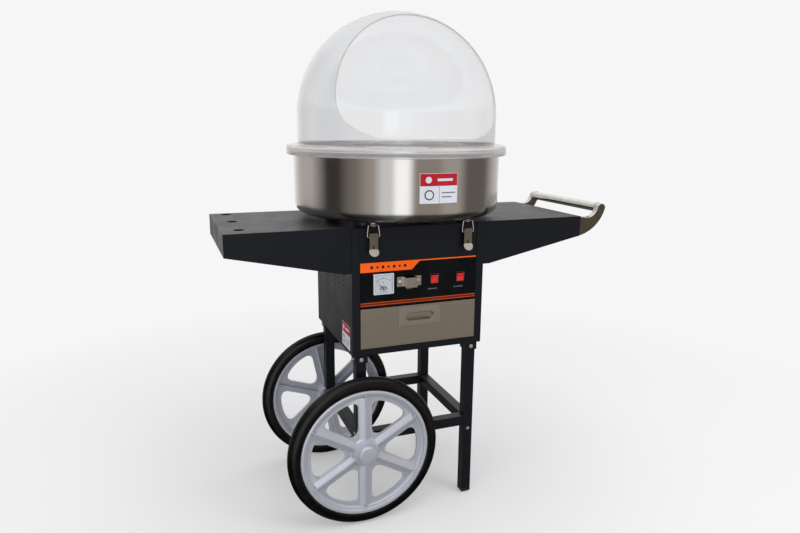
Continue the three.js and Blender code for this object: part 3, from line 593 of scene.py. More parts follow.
def wheel_window(middle):
    """One opening between two spokes, as points round the hub. Its corners are rounded off."""
    inner, outer, half_spoke = 50, 131, 16

    def at(radius, share):
        turn = middle + share * (math.pi / SPOKES - math.asin(half_spoke / radius))
        return Vector((radius * math.cos(turn), radius * math.sin(turn)))

    rim = [at(outer, share / 8) for share in range(-4, 5)]
    corners = ((at(inner, 1), at(inner, -1), at(outer, -1), 16), (at(inner, -1), at(outer, -1), rim[0], 21))
    half = []
    for before, corner, after, reach in corners:
        start = corner + (before - corner).normalized() * min(reach, (before - corner).length * 0.47)
        end = corner + (after - corner).normalized() * min(reach, (after - corner).length * 0.8)
        handles = [p + (corner - p) * 0.62 for p in (start, end)]
        half += [start, *map(Vector, bezier(start, *handles, end, 8))]
    mirrored = []
    axis = Vector((math.cos(middle), math.sin(middle)))
    for point in reversed(half):
        mirrored.append(axis * (2 * point.dot(axis)) - point)
    return [tuple(point) for point in (half + rim[1:-1] + mirrored)][::-1]


def spoke_roof(turn):
    """A low ridge on top of a spoke, with two sloping faces."""
    half, low, high = 13.5, WEB_TOP - 2, WEB_TOP + 4.6
    section = [(-half, low), (-half, WEB_TOP), (0, high), (half, WEB_TOP), (half, low)]
    bm = bmesh.new()
    ends = [[bm.verts.new((r, y, z)) for y, z in section] for r in (25, 138)]
    bm.faces.new(ends[0][::-1])
    bm.faces.new(ends[1])
    bridge(bm, ends)
    bmesh.ops.rotate(bm, verts=bm.verts, matrix=Matrix.Rotation(turn, 3, "Z"))
    return bm


def spoke_rib(turn, low, high):
    """A thin rib along a spoke, from the hub to the step of the rim."""
    bm = rounded(box((25, -1.3, low), (147.4, 1.3, high)), 0.6)
    bmesh.ops.rotate(bm, verts=bm.verts, matrix=Matrix.Rotation(turn, 3, "Z"))
    return bm


def wheel_body():
    circle = arc((0, 0), 143, 0, 360 - 2.5, 143)
    inner = arc((0, 0), 25, 0, 360 - 5, 71)[::-1]
    windows = [wheel_window(2 * math.pi * i / SPOKES) for i in range(SPOKES)]
    web = rounded(plate([circle, inner, *windows], 178, WEB_TOP), 1.8, 3)
    rim = turned(
        [
            (134, 178), (141.2, 178), (142.4, 177.6), (143, 176.4), (143.6, 172), (144.2, 170.6),
            (145.4, 170), (147, 169.4), (147.8, 168), (148.4, 161.6), (149, 160.5), (150.2, 160),
            (155.2, 160), (156, 160.8), (156, 190.4), (155.5, 192.4), (154.2, 193.4), (152.4, 193.6),
            (149.4, 193.6), (148.1, 193.1), (147.5, 191.8), (147.2, 189.6), (146.4, 188.7),
            (145, 188.4), (142.6, 188.2), (141.3, 187.5), (140.7, 186.2), (139.8, 185.3),
            (138, WEB_TOP + 0.05), (134, WEB_TOP - 0.5),
        ],
        192,
    )
    hub = turned(
        [
            (6.6, 158), (24.8, 158), (26, 159), (30.8, 177), (32, 179), (36, 182), (37, WEB_TOP + 0.05),
            (34, 185.9), (32.2, 187.6), (31.2, 190), (29.6, 197.4), (28.8, 198.6), (27.4, 199),
            (6.6, 199),
        ],
        96,
    )
    turns = [math.pi / SPOKES + 2 * math.pi * i / SPOKES for i in range(SPOKES)]
    ribs = [spoke_rib(turn, WEB_TOP - 1, WEB_TOP + 7) for turn in turns]
    ribs += [spoke_rib(turn, 168.5, 179) for turn in turns]
    return united([web, rim, hub, *map(spoke_roof, turns), *ribs])


def tyre_profile():
    half = [
        (156.3, 162.4), (156.8, 161.2), (158.2, 160.4), (161, 160), (166, 159.9), (171, 160.4),
        (175.4, 161.8), (178.8, 164), (181.2, 166.8), (182.4, 169), (182.7, 169.8), (182.1, 170.2),
        (182.2, 171), (183.1, 171.4), (183.7, 173), (183.9, 174.6), (183.2, 175),
    ]
    return half + [(r, 352 - h) for r, h in reversed(half)]


def build_wheels():
    for end, flip, lean in (("front", Matrix.Identity(4), 0), ("rear", MIRROR_Y, 11.5)):
        on_axle = (
            Matrix.Translation((WHEEL_X, 0, WHEEL_Z))
            @ flip
            @ TO_FRONT
            @ Matrix.Rotation(math.radians(lean), 4, "Z")
            @ Matrix.Scale(MM, 4)
        )
        body = f"{end}_wheel"
        show(f"wheel_{end}_moulding", wheel_body(), "wheel_plastic", body, [f"wheel_{end}"], 32, on_axle)
        tyre = turned(tyre_profile(), 240)
        show(f"tyre_{end}_rubber", tyre, "tyre_rubber", body, [f"tyre_{end}"], 50, on_axle)
        cap_profile = [
            (0, 199.3), (22.3, 199.3), (22.6, 199.8), (22.5, 203.2), (22, 204.4), (19.4, 206.8),
            (18.2, 207.3), (14, 207.6), (0, 207.6),
        ]
        cap = turned(cap_profile, 96)
        show(f"hub_cap_{end}_moulding", cap, "wheel_plastic", body, [f"hub_cap_{end}"], 40, on_axle)
        washer = [(6.3, 157.5), (11, 157.5), (11.3, 157.2), (11.3, 156), (11, 155.6), (6.3, 155.6)]
        show(f"axle_washer_{end}", turned(washer, 40), "zinc", "cart", to_row=on_axle)


# ---- Bowl, cover and spinning head ----

BOWL_BOTTOM = 730
BOWL_RADIUS = 251
LATCH_X = 116.7


def bowl_body():
    profile = [
        (14, BOWL_BOTTOM), *arc((226, 755), 25, -90, 0, 12), (BOWL_RADIUS, 760), (BOWL_RADIUS, 872),
        (251.6, 875.4), (253, 877.6), *arc((257, 883), 4.9, -110, 150, 14), (250.4, 883.2),
        (249.2, 880.6), (249, 877), (249, 760), *arc((226, 755), 23, 0, -90, 12), (17.4, 732),
        (16.3, 733), (16, 734.6), (16, 743.4), (15.4, 744), (14.4, 744), (14, 743.4),
    ]
    return turned(profile, 256)


def hooks():
    """The four bent catches under the bowl that the latch wires pull on."""
    bodies = []
    for x in (-LATCH_X, LATCH_X):
        for side in (1, -1):
            stem = box((x - 5, -168, 718), (x + 5, -166.5, BOWL_BOTTOM + 4))
            lip = box((x - 5, -170.3, 718), (x + 5, -166.6, 719.5))
            bm = rounded(united([stem, lip]), 0.4)
            if side == -1:
                bm.transform(MIRROR_Y)
            bodies.append(bm)
    return bodies


COVER_INSIDE, COVER_OUTSIDE, COVER_SPRING = 237, 240, 957


def cover_window_outline():
    """The serving window from the front: a big arc that sweeps into wide lower corners."""
    radius, middle, bottom = 192, 988, 909
    outline = arc((0, middle), radius, 0, 180, 144)
    outline += bezier((-radius, middle), (-radius, middle - 45), (-150, bottom), (-90, bottom), 20)
    outline += [(-45, bottom), (0, bottom), (45, bottom), (90, bottom)]
    outline += bezier((90, bottom), (150, bottom), (radius, middle - 45), (radius, middle), 20)[:-1]
    return outline


def on_cover(x, z):
    """The point of the cover's outer face that shows at (x, z) from the front, from its centre."""
    rise = z - COVER_SPRING
    return Vector((x, -math.sqrt(COVER_OUTSIDE**2 - x**2 - max(rise, 0) ** 2), rise))


def cover_window():
    """A cone from the middle of the cover through the window, which cuts square to the wall."""
    bm = bmesh.new()
    centre = Vector((0, 0, COVER_SPRING))
    inner, outer = bm.verts.new(centre), bm.verts.new((0, -700, 990))
    ring = [bm.verts.new(centre + on_cover(x, z) * 1.1) for x, z in cover_window_outline()]
    for first, second in zip(ring, ring[1:] + ring[:1]):
        bm.faces.new((inner, first, second))
        bm.faces.new((outer, second, first))
    return bm


def window_edge():
    """The sawn edge of the window, as a strip just proud of the cut and of both faces of the wall."""
    bm = bmesh.new()
    rings = []
    low, high = (COVER_INSIDE - 0.15) / COVER_OUTSIDE, (COVER_OUTSIDE + 0.15) / COVER_OUTSIDE
    for x, z in cover_window_outline():
        away = Vector((x, 0, z - 960)).normalized()
        ring = []
        for scale, shift in ((low, 0.3), (high, 0.3), (high, -0.25), (low, -0.25)):
            ring.append(bm.verts.new(Vector((0, 0, COVER_SPRING)) + on_cover(x, z) * scale + away * shift))
        rings.append(ring)
    bridge(bm, rings + rings[:1])
    return bm


def cover_body():
    inside, outside, spring = COVER_INSIDE, COVER_OUTSIDE, COVER_SPRING
    profile = [
        (0, spring + inside), *arc((0, spring), inside, 88, 0, 40), (inside, 897), (outside, 897),
        *arc((0, spring), outside, 0, 88, 40), (0, spring + outside),
    ]
    return united([turned(profile, 256)], [cover_window()])


def rim_body():
    """The flange that hangs over the bowl's roll, moulded on below the cover's wall."""
    inside, outside = COVER_INSIDE, COVER_OUTSIDE
    profile = [
        (inside, 897), (inside, 893), (inside + 0.8, 890), (inside + 3, 888.2), (inside + 6, 888),
        (261, 888), (263.6, 887.2), (264.4, 885), (264.4, 870), (265, 869.1), (266.2, 869),
        (267.2, 869.8), (267.2, 886), (266.4, 889.2), (264.2, 891), (262, 891.4), (246, 891.4),
        (242.4, 892.2), (240.6, 894.2), (outside, 897),
    ]
    return turned(profile, 256)


def build_bowl():
    show("bowl_shell", bowl_body(), "brushed_steel", "cart", ["bowl"], 40)
    for index, bm in enumerate(hooks()):
        show(f"bowl_hook_{index}", bm, "chrome", "cart")
    for index, (x, y) in enumerate(((-128, -128), (128, -128), (128, 128), (-128, 128))):
        pad = turned([(0, 716.2), (20, 716.2), (21, 717.2), (20.4, 729), (19.4, 729.8), (0, 729.8)], 48)
        bmesh.ops.translate(pad, verts=pad.verts, vec=(x, y, 0))
        show(f"bowl_pad_{index}", pad, "black_plastic", "cart")
    shell = show("bubble_cover_shell", cover_body(), "clear_plastic", "cover", ["bubble_cover"], 38)
    rim = show("bubble_cover_rim", rim_body(), "rim_acrylic", "cover", sharp=60)
    edge = show("bubble_cover_edge", window_edge(), "sawn_acrylic", "cover", sharp=50)
    for obj in (shell, rim, edge):
        obj.visible_shadow = False


def build_head():
    cup = [
        (0, 757), (20, 757), (22, 757.6), (25.6, 764.4), (27, 766), (72, 767.2), (77, 769), (79.6, 773),
        (80, 778), (80, 799), (79.2, 800), (77.6, 800), (77, 799), (77, 776), (74, 771.4), (70, 770),
        (0, 770),
    ]
    show("spinner_cup_turned", turned(cup, 128), "aluminium", "spinner", ["spinner_cup"], 40)

    def slots(index, step):
        return -0.8 if index in (1, 2) and step % 3 == 0 else 0

    band = [(75, 800.3), (79, 800.3), (79, 826.3), (75, 826.3)]
    show("heater_band_pressed", turned(band, 144, slots), "zinc", "spinner", ["heater_band"], 30)
    cap = [
        (75, 826.6), (79.2, 826.6), (80, 827.4), (80, 829.6), (79, 831), (40, 841.8), (36, 842.6),
        (31, 842.6), (30, 841.8), (30, 839.4), (31.4, 838.6), (72, 829.6), (75, 828.2),
    ]
    show("spinner_cap_turned", turned(cap, 128), "aluminium", "spinner", ["spinner_cap"], 40)
    for index in range(3):
        turn = math.radians(30 + 120 * index)
        place = Matrix.Translation((68 * math.cos(turn), 68 * math.sin(turn), 833.4))
        fix_screw(f"spinner_screw_{index}", 2.6, place, "zinc", "spinner")


# ---- Fastenings ----


def pan_head(radius):
    """A pan-head screw seen from above, with a cross recess."""
    top = radius * 0.62
    head = turned(
        [
            (0, 0), (radius, 0), (radius, top * 0.35), (radius * 0.93, top * 0.72),
            (radius * 0.72, top * 0.94), (radius * 0.45, top), (0, top),
        ],
        32,
    )
    arm, slot = radius * 0.5, radius * 0.11
    cutters = [
        box((-arm, -slot, top * 0.45), (arm, slot, top + 1)),
        box((-slot, -arm, top * 0.45), (slot, arm, top + 1)),
    ]
    return united([head], cutters)


def fix_screw(name, radius, place, finish, body="cart"):
    screw = pan_head(radius)
    screw.transform(place)
    show(name, screw, finish, body)


def hex_bolt(across, height):
    """A hexagon bolt head on its washer."""
    radius = across / math.sqrt(3)
    head = rounded(plate([hexagon(radius)], 0.8, height), 0.5)
    washer = turned([(0, 0), (radius * 1.25, 0), (radius * 1.25, 0.9), (radius * 1.18, 1.1), (0, 1.1)], 36)
    return united([washer, head])


def build_fastenings():
    toward = {
        "front": TO_FRONT,
        "left": Matrix.Rotation(math.radians(-90), 4, "Y"),
        "right": Matrix.Rotation(math.radians(90), 4, "Y"),
        "rear": Matrix.Rotation(math.radians(-90), 4, "X"),
    }
    socket, tube_face = 157.35, 154.6
    bolts = []
    for x in (-142, 142):
        bolts += [("front", x, -socket, 404), ("rear", x, socket, 404)]
        bolts += [("front", x, -tube_face, 182), ("rear", x, tube_face, 182)] if x > 0 else []
    for y in (-142, 142):
        bolts += [("left", -socket, y, 404), ("right", socket, y, 404), ("left", -tube_face, y, 213)]
    for index, (side, x, y, z) in enumerate(bolts):
        bolt = hex_bolt(7, 4) if z > 300 else pan_head(4.2)
        bolt.transform(Matrix.Translation((x, y, z)) @ toward[side])
        show(f"frame_bolt_{index}", bolt, "zinc", "cart")
    for index, x in enumerate((-49, -4.6)):
        fix_screw(f"guard_screw_{index}", 4.4, facing(x, -163.2, 585), "chrome")
    for index, x in enumerate((-127, 127)):
        for level, z in enumerate((440, 560, 690)):
            place = Matrix.Translation((x, 162, z)) @ toward["rear"]
            fix_screw(f"back_screw_{index}_{level}", 3.2, place, "zinc")


# ---- Handle ----

HANDLE_X, HANDLE_Z = 502, 734


def build_handle():
    horn = [(437.8, 665.6)]
    horn += bezier((437.8, 665.6), (468, 671), (503, 693), (514, 734), 20)
    horn += arc((HANDLE_X, HANDLE_Z), 12, 0, 160, 18)[1:]
    tip = horn[-1]
    horn += bezier(tip, (486, 722), (476, 710), (456, 713), 18)
    horn += [(437.8, 715)]
    for end, flip in ENDS:
        bm = rounded(plate([horn], 145.2, 160.8), 2.2, 4)
        bm.transform(flip @ TO_FRONT)
        # the horns' flat cheeks are painted dark by their material, as painted shade
        show(f"handle_horn_{end}", bm, "chrome_painted_shade", "cart", [f"handle_bracket_{end}"], 35)
    tube_profile = [
        (0, -144.6), (12.6, -144.6), (13, -144.2), (13, -141), (12.4, -140.4), (11.5, -140.2),
        (11.5, 140.2), (12.4, 140.4), (13, 141), (13, 144.2), (12.6, 144.6), (0, 144.6),
    ]
    bm = turned(tube_profile, 64)
    bm.transform(facing(HANDLE_X, 0, HANDLE_Z))
    show("handle_bar", bm, "chrome", "cart", ["handle_tube"])


# ---- Toggle latches ----

LEVER_HALF, LEVER_BEND = 9.9, 667


def lever_body(x):
    """A pressed strip with a keyhole slot and side cheeks."""
    half, bend = LEVER_HALF, LEVER_BEND
    slot = [(1.5 * math.cos(a), 671.5 + 4.6 * math.sin(a)) for a in (math.tau * i / 20 for i in range(20))]
    top = [(half, 701.5), (half - 1.5, 703), (-half + 1.5, 703), (-half, 701.5)]
    strip = [(-half, bend), (half, bend), *top]
    face = rounded(plate([strip, slot[::-1]], 171.2, 173), 0.35)
    pressing = rounded(box((-5.2, 676.5, 172.5), (5.2, 697, 173.9)), 0.5)
    cheeks = [rounded(box((a, 690.5, 164.8), (a + 1.5, 702.6, 172)), 0.5) for a in (-half, half - 1.5)]
    bm = united([face, pressing, *cheeks])
    bm.transform(facing(x, 0, 0))
    return bm


def thumb_body(x):
    """The lever's round thumb end, which kicks out from its bend. It takes a lighter copy of the lever's
    steel, a painted highlight.
    """
    half, bend, tip_z, tip_radius = LEVER_HALF, LEVER_BEND, 661, 11.5
    thumb = [(half, bend + 0.6)] + arc((0, tip_z), tip_radius, 28, -208, 30) + [(-half, bend + 0.6)]
    tip = rounded(plate([thumb[::-1]], 171.2, 173), 0.4)
    kick = Matrix.Translation((0, bend, 172)) @ Matrix.Rotation(math.radians(-28), 4, "X")
    tip.transform(kick @ Matrix.Translation((0, -bend, -172)))
    tip.transform(facing(x, 0, 0))
    return tip


def bail_body(x):
    """The wire loop between the lever's cheeks and the bowl's catch."""
    pivot_y, pivot_z, bar_y, bar_z = -170.5, 695, -169.8, 721.1
    half = [
        (8.2, pivot_y, pivot_z), (12.4, pivot_y, pivot_z), (14.2, pivot_y, pivot_z + 1.8),
        (13.4, (pivot_y + bar_y) / 2, (pivot_z + bar_z) / 2), (11.8, bar_y, bar_z - 2.5),
        (9.3, bar_y, bar_z),
    ]
    left = [Vector((x - a, y, z)) for a, y, z in half]
    right = [Vector((x + a, y, z)) for a, y, z in reversed(half)]
    return tube(catmull(left + right, 6), 1.25)


def build_latches():
    for side, x in (("left", -LATCH_X), ("right", LATCH_X)):
        for end, flip in ENDS:
            place = f"{end}_{side}"
            for kind, part, draw, finish, replaced in (
                # the strip takes the painted shade copy of the steel, the thumb end the painted highlight
                # copy
                ("lever", "pressed", lever_body, "latch_steel", [f"latch_lever_{place}"]),
                ("lever", "thumb", thumb_body, "lever_tip_painted_highlight", ()),
                ("bail", "wire", bail_body, "chrome", [f"latch_bail_{place}"]),
            ):
                bm = draw(x)
                bm.transform(flip)
                show(f"{kind}_{place}_{part}", bm, finish, f"{kind}_{place}", replaced)


# ---- Control panel ----

OVERLAY_DEPTH = 161.42  # how far the printed film stands in front of the axis
SWITCHES = {"power": 37, "heat": 104}
METER_X, METER_Z = -90.5, 584


def print_on_front(name, outline, ink, depth=OVERLAY_DEPTH, thickness=0.12):
    """A thin layer of ink or film on a face towards the operator, drawn in X and Z."""
    bm = plate([outline], depth, depth + thickness)
    bm.transform(TO_FRONT)
    obj = show(name, bm, ink, "cart")
    obj.visible_glossy = False


def bar_outline(x0, x1, z0, z1):
    return [(x0, z0), (x1, z0), (x1, z1), (x0, z1)]


def build_overlay_print():
    half = 145
    banner = [(-half, 612.3), (-20, 612.3), (-1, 631.5), (half, 631.5), (half, 634.3), (-half, 634.3)]
    print_on_front("banner_orange", banner, "orange_ink")
    for index, (low, high, ink) in enumerate(
        ((533.4, 535.2, "dim_orange_ink"), (535.2, 539.4, "rust_ink"), (539.4, 541.2, "dim_orange_ink"))
    ):
        print_on_front(f"stripe_{index}", bar_outline(-half, half, low, high), ink)
    for index in range(7):
        x = -118 + 13.5 * index
        size = 3.4 if index % 2 else 4.6
        lozenge = [(x - size, 623), (x, 623 - size), (x + size, 623), (x, 623 + size)]
        print_on_front(f"banner_mark_{index}", lozenge, "black_ink", OVERLAY_DEPTH + 0.12)
    for index, x in enumerate(SWITCHES.values()):
        print_on_front(f"switch_mark_{index}", bar_outline(x - 10, x + 8, 561.4, 563), "grey_ink")
        ring = disc((x - 13.4, 562.2), 1.8)
        print_on_front(f"switch_dot_{index}", ring, "grey_ink")
    print_on_front("fuse_mark", bar_outline(-34, -20, 566.2, 567.4), "grey_ink")


def polar(centre, radius, turn, across=0.0):
    """A point at a bearing from a centre, in degrees, moved sideways by a distance."""
    angle = math.radians(turn)
    along = Vector((math.cos(angle), math.sin(angle)))
    return tuple(Vector(centre) + along * radius + Vector((-along.y, along.x)) * across)


def build_meter():
    """The dial, its scale, the pointer and the cover over its pivot."""
    pivot = (METER_X, METER_Z - 12)
    dial = bar_outline(METER_X - 21.7, METER_X + 21.7, METER_Z - 21.7, METER_Z + 21.7)
    print_on_front("meter_dial", dial, "dial_card", depth=163.25, thickness=0.25)
    ink = {"depth": 163.5, "thickness": 0.08}
    scale = arc(pivot, 23.8, 48, 132, 40) + arc(pivot, 24.5, 132, 48, 40)
    print_on_front("meter_scale", scale, "grey_ink", **ink)
    for index in range(11):
        turn, major = 48 + 8.4 * index, index % 5 == 0
        reach, half = (28.4, 0.4) if major else (26.6, 0.22)
        corners = ((24, half), (24, -half), (reach, -half), (reach, half))
        tick = [polar(pivot, r, turn, side) for r, side in corners]
        print_on_front(f"meter_tick_{index}", tick, "grey_ink", **ink)
    print_on_front("meter_unit_mark", disc((METER_X, METER_Z + 4), 1.3), "grey_ink", **ink)
    dome = (METER_X, METER_Z - 15)
    cover = [(METER_X - 9, METER_Z - 20.5), *arc(dome, 9, 180, 0, 24), (METER_X + 9, METER_Z - 20.5)]
    hub = rounded(plate([cover[::-1]], 163.4, 164.2), 0.3)
    hub.transform(TO_FRONT)
    show("meter_hub_cover", hub, "meter_plastic", "cart")
    brow = arc(dome, 9.6, 12, 168, 24) + arc(dome, 7.4, 160, 20, 20)
    print_on_front("meter_hub_brow", brow, "black_plastic", depth=164.1, thickness=0.4)
    fix_screw("meter_zero_screw", 1.9, facing(METER_X, -164.1, METER_Z - 17.5), "zinc")
    rest = 90 + 42
    edge = ((-4, -0.5), (0, -0.6), (25, -0.14), (25, 0.14), (0, 0.6), (-4, 0.5))
    blade = [polar(pivot, r, rest, side) for r, side in edge]
    needle = plate([blade], 165, 165.3)
    collar = turned([(0, 164.8), (2.2, 164.8), (2.2, 165.6), (1.8, 166), (0, 166)], 32)
    collar.transform(Matrix.Translation((*pivot, 0)))
    bm = united([needle, collar])
    bm.transform(TO_FRONT)
    show("meter_pointer_blade", bm, "black_plastic", "pointer", ["meter_needle"])


def rocker_body(x):
    """A rocker paddle with a hollow pressing face, at rest with its lower half pressed in."""
    bm = bmesh.new()
    half = [(10, -6.4), (9, -6.8), (6.4, -5.9), (3.2, -4.9), (0, -4.5)]
    rows = [(-z, y) for z, y in half] + half[-2::-1]
    outline = [(y, z) for z, y in rows] + [(3.5, 6.2), (3.5, -6.2)]
    ends = [[bm.verts.new((side * 9, y, z)) for y, z in outline] for side in (-1, 1)]
    bm.faces.new(ends[0])
    bm.faces.new(ends[1][::-1])
    for i in range(len(outline)):
        j = (i + 1) % len(outline)
        bm.faces.new((ends[0][i], ends[1][i], ends[1][j], ends[0][j]))
    bmesh.ops.recalc_face_normals(bm, faces=bm.faces)
    rounded(bm, 0.6, 3, 40)
    bm.transform(Matrix.Translation((x, -158.5, 586.5)) @ Matrix.Rotation(math.radians(9), 4, "X"))
    return bm


def build_switches():
    for name, x in SWITCHES.items():
        body = f"{name}_paddle"
        show(f"{body}_moulding", rocker_body(x), "red_plastic", body, [f"{name}_rocker"], 40)


def build_drawer_pull():
    """The raised frame round the finger pocket, in a lighter copy of the drawer steel as a painted
    highlight.
    """
    border = [(-52, -21), (52, -21), (52, 21), (-52, 21)]
    mouth = arc((24.5, 0), 10.2, 90, -90, 24) + arc((-24.5, 0), 10.2, 270, 90, 24)
    bm = rounded(plate([border, mouth], 164.5, 166.4), 1.1, 4, 50)
    bm.transform(facing(0, 0, 499))
    show("drawer_pull_frame", bm, "pull_highlight_and_guard_steel", "drawer")


def build_gland():
    body = turned(
        [
            (4, 152), (8, 152), (8, 163), (13, 163), (13, 165), (10.5, 165.5), (10.5, 172), (9.5, 175),
            (7.6, 178.2), (5.4, 179.4), (4, 179.4),
        ],
        48,
    )
    nut = plate([hexagon(12.4), disc((0, 0), 6)[::-1]], 163.4, 170.4)
    bm = united([body, rounded(nut, 0.7)])
    bm.transform(Matrix.Translation((100, 0, 452)) @ Matrix.Rotation(math.radians(-90), 4, "X"))
    show("gland_moulding", bm, "black_plastic", "cart", ["cord_gland"])


# ---- Labels ----


def label_layers(width, height):
    """A generic notice: red head, pale field and plain marks, as (layer, colour, outline) rows."""
    band = height * 0.42
    top = height
    layers = [
        (0, "white_film", bar_outline(0, width, 0, height)),
        (1, "red_film", bar_outline(0.8, width - 0.8, top - band, top - 0.8)),
        (1, "black_ink", bar_outline(width * 0.5 - 0.3, width * 0.5 + 0.3, 1, top - band - 1)),
        (2, "white_film", disc((width * 0.22, top - band * 0.52), band * 0.26)),
        (2, "white_film", bar_outline(width * 0.45, width * 0.86, top - band * 0.62, top - band * 0.42)),
        (1, "black_ink", disc((width * 0.24, height * 0.28), height * 0.17)),
        (2, "white_film", disc((width * 0.24, height * 0.28), height * 0.13)),
    ]
    for row in range(2):
        low = height * (0.33 - 0.14 * row)
        line = bar_outline(width * 0.56, width * (0.94 - 0.1 * row), low, low + height * 0.04)
        layers.append((1, "grey_ink", line))
    return layers


def wrap_on_bowl(bm, radius, start_turn, low):
    """Bends a flat drawing in X and Y, with Z outward, round the bowl."""
    for vert in bm.verts:
        turn = start_turn + vert.co.x / radius
        reach = radius + vert.co.z
        vert.co = Vector((reach * math.cos(turn), reach * math.sin(turn), low + vert.co.y))


def slices(bm, pitch, width):
    """Cuts a flat drawing across X, so that it can bend."""
    for step in range(1, int(width / pitch) + 1):
        geometry = bm.verts[:] + bm.edges[:] + bm.faces[:]
        bmesh.ops.bisect_plane(bm, geom=geometry, plane_co=(step * pitch, 0, 0), plane_no=(1, 0, 0))


def build_labels():
    width, height, thick = 89, 64, 0.15
    start = math.radians(-99.1)
    for index, (layer, ink, outline) in enumerate(label_layers(width, height)):
        bm = plate([outline], layer * thick, layer * thick + thick)
        slices(bm, 6, width)
        wrap_on_bowl(bm, BOWL_RADIUS + 0.05, start, 775)
        show(f"bowl_label_{index}", bm, ink, "cart")
    for index, (layer, ink, outline) in enumerate(label_layers(66, 58)):
        bm = plate([outline], layer * thick, layer * thick + thick)
        turn = Matrix(((0, 0, -1, -165.05), (-1, 0, 0, -77), (0, 1, 0, 423), (0, 0, 0, 1)))
        bm.transform(turn)
        show(f"side_label_{index}", bm, ink, "cart")


# ---- Stage, light and camera ----


def build_stage():
    floor = turned([(0, -2), (9000, -2), (9000, 0), (0, 0)], 96)
    mesh = bpy.data.meshes.new("floor")
    floor.transform(Matrix.Scale(MM, 4))
    floor.to_mesh(mesh)
    floor.free()
    obj = bpy.data.objects.new("floor", mesh)
    SCENE.collection.objects.link(obj)
    obj.visible_glossy = False
    mat = principled("floor_paper", Roughness=0.9, Specular_IOR_Level=0.1)
    shader = mat.node_tree.nodes["Principled BSDF"]
    place = add(mat, "ShaderNodeTexCoord").outputs["Object"]
    reach = add(mat, "ShaderNodeVectorMath", {0: place}, operation="LENGTH").outputs["Value"]
    far = remap(mat, reach, 0.25, 1, 0.7, 1.8)
    fibre = noise(mat, 400, 3)
    tint(mat, fibre, (0.86, 0.855, 0.86), (0.9, 0.895, 0.9))
    glow = add(mat, "ShaderNodeEmission", {"Color": (*PALE, 1), "Strength": 1.0})
    mix = add(mat, "ShaderNodeMixShader", {0: far, 1: shader.outputs[0], 2: glow.outputs[0]})
    output = mat.node_tree.nodes["Material Output"]
    mat.node_tree.links.new(mix.outputs[0], output.inputs["Surface"])
    mesh.materials.append(mat)


PALE = (0.93, 0.923, 0.93)
RAMP_SCALE = 3.0  # a colour ramp holds at most 1, so the panels' levels are divided by this
# What gloss sees round the object: the two edges of each panel, by bearing from the front (-Y) towards
# +X in degrees, and its grey level. The light changes evenly over the gap between two panels.
PANELS = {
    "back wall, left": (-180, -175, 0.95),
    "left wall": (-150, -125, 0.55),
    "left flag": (-100, -86, 0.04),
    "left board, far": (-70, -65, 0.2),
    "left board, near": (-50, -45, 0.4),
    "white board": (-35, -25, 0.9),
    "window": (-20, -8, 1.55),
    "front wall": (0, 25, 0.32),
    "front board": (35, 50, 0.45),
    "right flag": (63, 92, 0.14),
    "right wall": (112, 115, 0.55),
    "back wall, right": (155, 180, 0.95),
}


def panel_colour(level):
    """Dark panels are warm and light ones neutral."""
    warmth = max(0.0, min(1.0, (0.75 - level) / 0.4))
    level /= RAMP_SCALE
    return (level * (1 + 0.12 * warmth), level, level * (1 - 0.12 * warmth), 1)


def build_world():
    """A pale surround. Gloss sees a studio of light and dark panels instead, all round the object."""
    world = bpy.data.worlds.new("studio")
    SCENE.world = world
    world.use_nodes = True
    shader = world.node_tree.nodes["Background"]
    direction = add(world, "ShaderNodeTexCoord").outputs["Generated"]
    axes = add(world, "ShaderNodeSeparateXYZ", {"Vector": direction}).outputs
    bearing = maths(world, "ARCTAN2", axes["X"], maths(world, "MULTIPLY", axes["Y"], -1.0))
    turn = remap(world, bearing, 0, 1, -math.pi, math.pi)
    ramp = add(world, "ShaderNodeValToRGB", {"Fac": turn})
    stops = [(side, level) for left, right, level in PANELS.values() for side in (left, right)]
    elements = ramp.color_ramp.elements
    for side, level in stops[1:-1]:
        elements.new((side + 180) / 360)
    for element, (side, level) in zip(elements, stops):
        element.position = (side + 180) / 360
        element.color = panel_colour(level)
    panels = scaled(world, ramp.outputs["Color"], RAMP_SCALE)
    low = remap(world, axes["Z"], 0.12, 1.0, -0.52, -0.34)
    behind = remap(world, axes["Y"], 0, 1, 0.75, 0.9)
    below = remap(world, axes["Z"], 0, 0.8, -0.2, -0.26)
    kept = maths(world, "SUBTRACT", 1.0, maths(world, "MULTIPLY", behind, below))
    shaded = scaled(world, panels, maths(world, "MULTIPLY", kept, low))
    high = remap(world, axes["Z"], 0, 1, 0.45, 0.75)
    gloss = blend_colour(world, high, shaded, (0.95, 0.95, 0.95))
    rays = add(world, "ShaderNodeLightPath").outputs
    lit = blend_colour(world, rays["Is Diffuse Ray"], PALE, (0.62, 0.62, 0.63))
    colour = blend_colour(world, rays["Is Glossy Ray"], lit, gloss)
    world.node_tree.links.new(colour, shader.inputs["Color"])
    shader.inputs["Strength"].default_value = 1.0


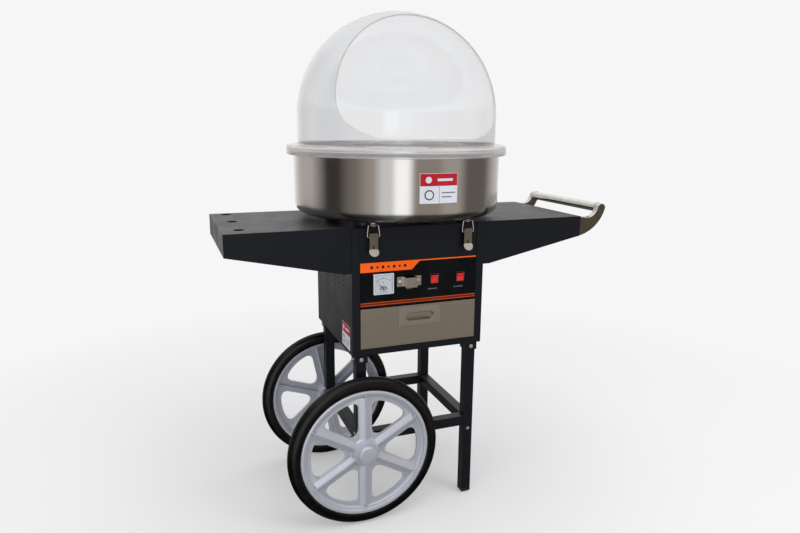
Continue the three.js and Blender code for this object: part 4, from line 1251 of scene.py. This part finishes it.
def area_light(name, place, target, size, power):
    data = bpy.data.lights.new(name, "AREA")
    data.shape = "RECTANGLE"
    data.size, data.size_y = size
    data.energy = power
    obj = bpy.data.objects.new(name, data)
    obj.location = place
    obj.rotation_euler = (Vector(target) - Vector(place)).to_track_quat("-Z", "Y").to_euler()
    obj.visible_camera = False
    obj.visible_glossy = False
    obj.visible_transmission = False
    SCENE.collection.objects.link(obj)


def build_lights():
    area_light("overhead", (0.2, -0.3, 3.2), (0, 0, 0.6), (3.0, 3.0), 38)
    area_light("key", (1.9, -2.6, 2.3), (0, 0, 0.6), (1.4, 1.8), 26)
    area_light("fill", (-2.6, -1.6, 1.6), (0, 0, 0.5), (1.6, 2.0), 12)


CAMERA_AT = (-0.5604, -1.4919, 0.9415)  # in metres from the spinner's axis on the floor
CAMERA_AZIMUTH, CAMERA_PITCH, CAMERA_ROLL = -21.0, 12.67, 0.48


def build_camera():
    data = bpy.data.cameras.new("camera")
    data.sensor_width = 36
    data.lens = 28.65
    data.clip_start = 0.05
    camera = bpy.data.objects.new("camera", data)
    SCENE.collection.objects.link(camera)
    azimuth, pitch, roll = map(math.radians, (CAMERA_AZIMUTH, CAMERA_PITCH, CAMERA_ROLL))
    ahead = (-math.sin(azimuth) * math.cos(pitch), math.cos(azimuth) * math.cos(pitch), -math.sin(pitch))
    forward = Vector(ahead)
    right = Vector((math.cos(azimuth), math.sin(azimuth), 0))
    up = right.cross(forward)
    level_right = right * math.cos(roll) + up * math.sin(roll)
    level_up = up * math.cos(roll) - right * math.sin(roll)
    turn = Matrix((level_right, level_up, -forward)).transposed()
    place = Vector((AXIS_X, 0, 0)) + Vector(CAMERA_AT)
    camera.matrix_world = Matrix.Translation(place) @ turn.to_4x4()
    SCENE.camera = camera
    SCENE.view_settings.view_transform = "Standard"
    SCENE.view_settings.look = "None"


build_camera()
dress_cad()
build_wheels()
build_bowl()
build_head()
build_fastenings()
build_handle()
build_latches()
build_overlay_print()
build_meter()
build_switches()
build_drawer_pull()
build_gland()
build_labels()
build_stage()
build_world()
build_lights()
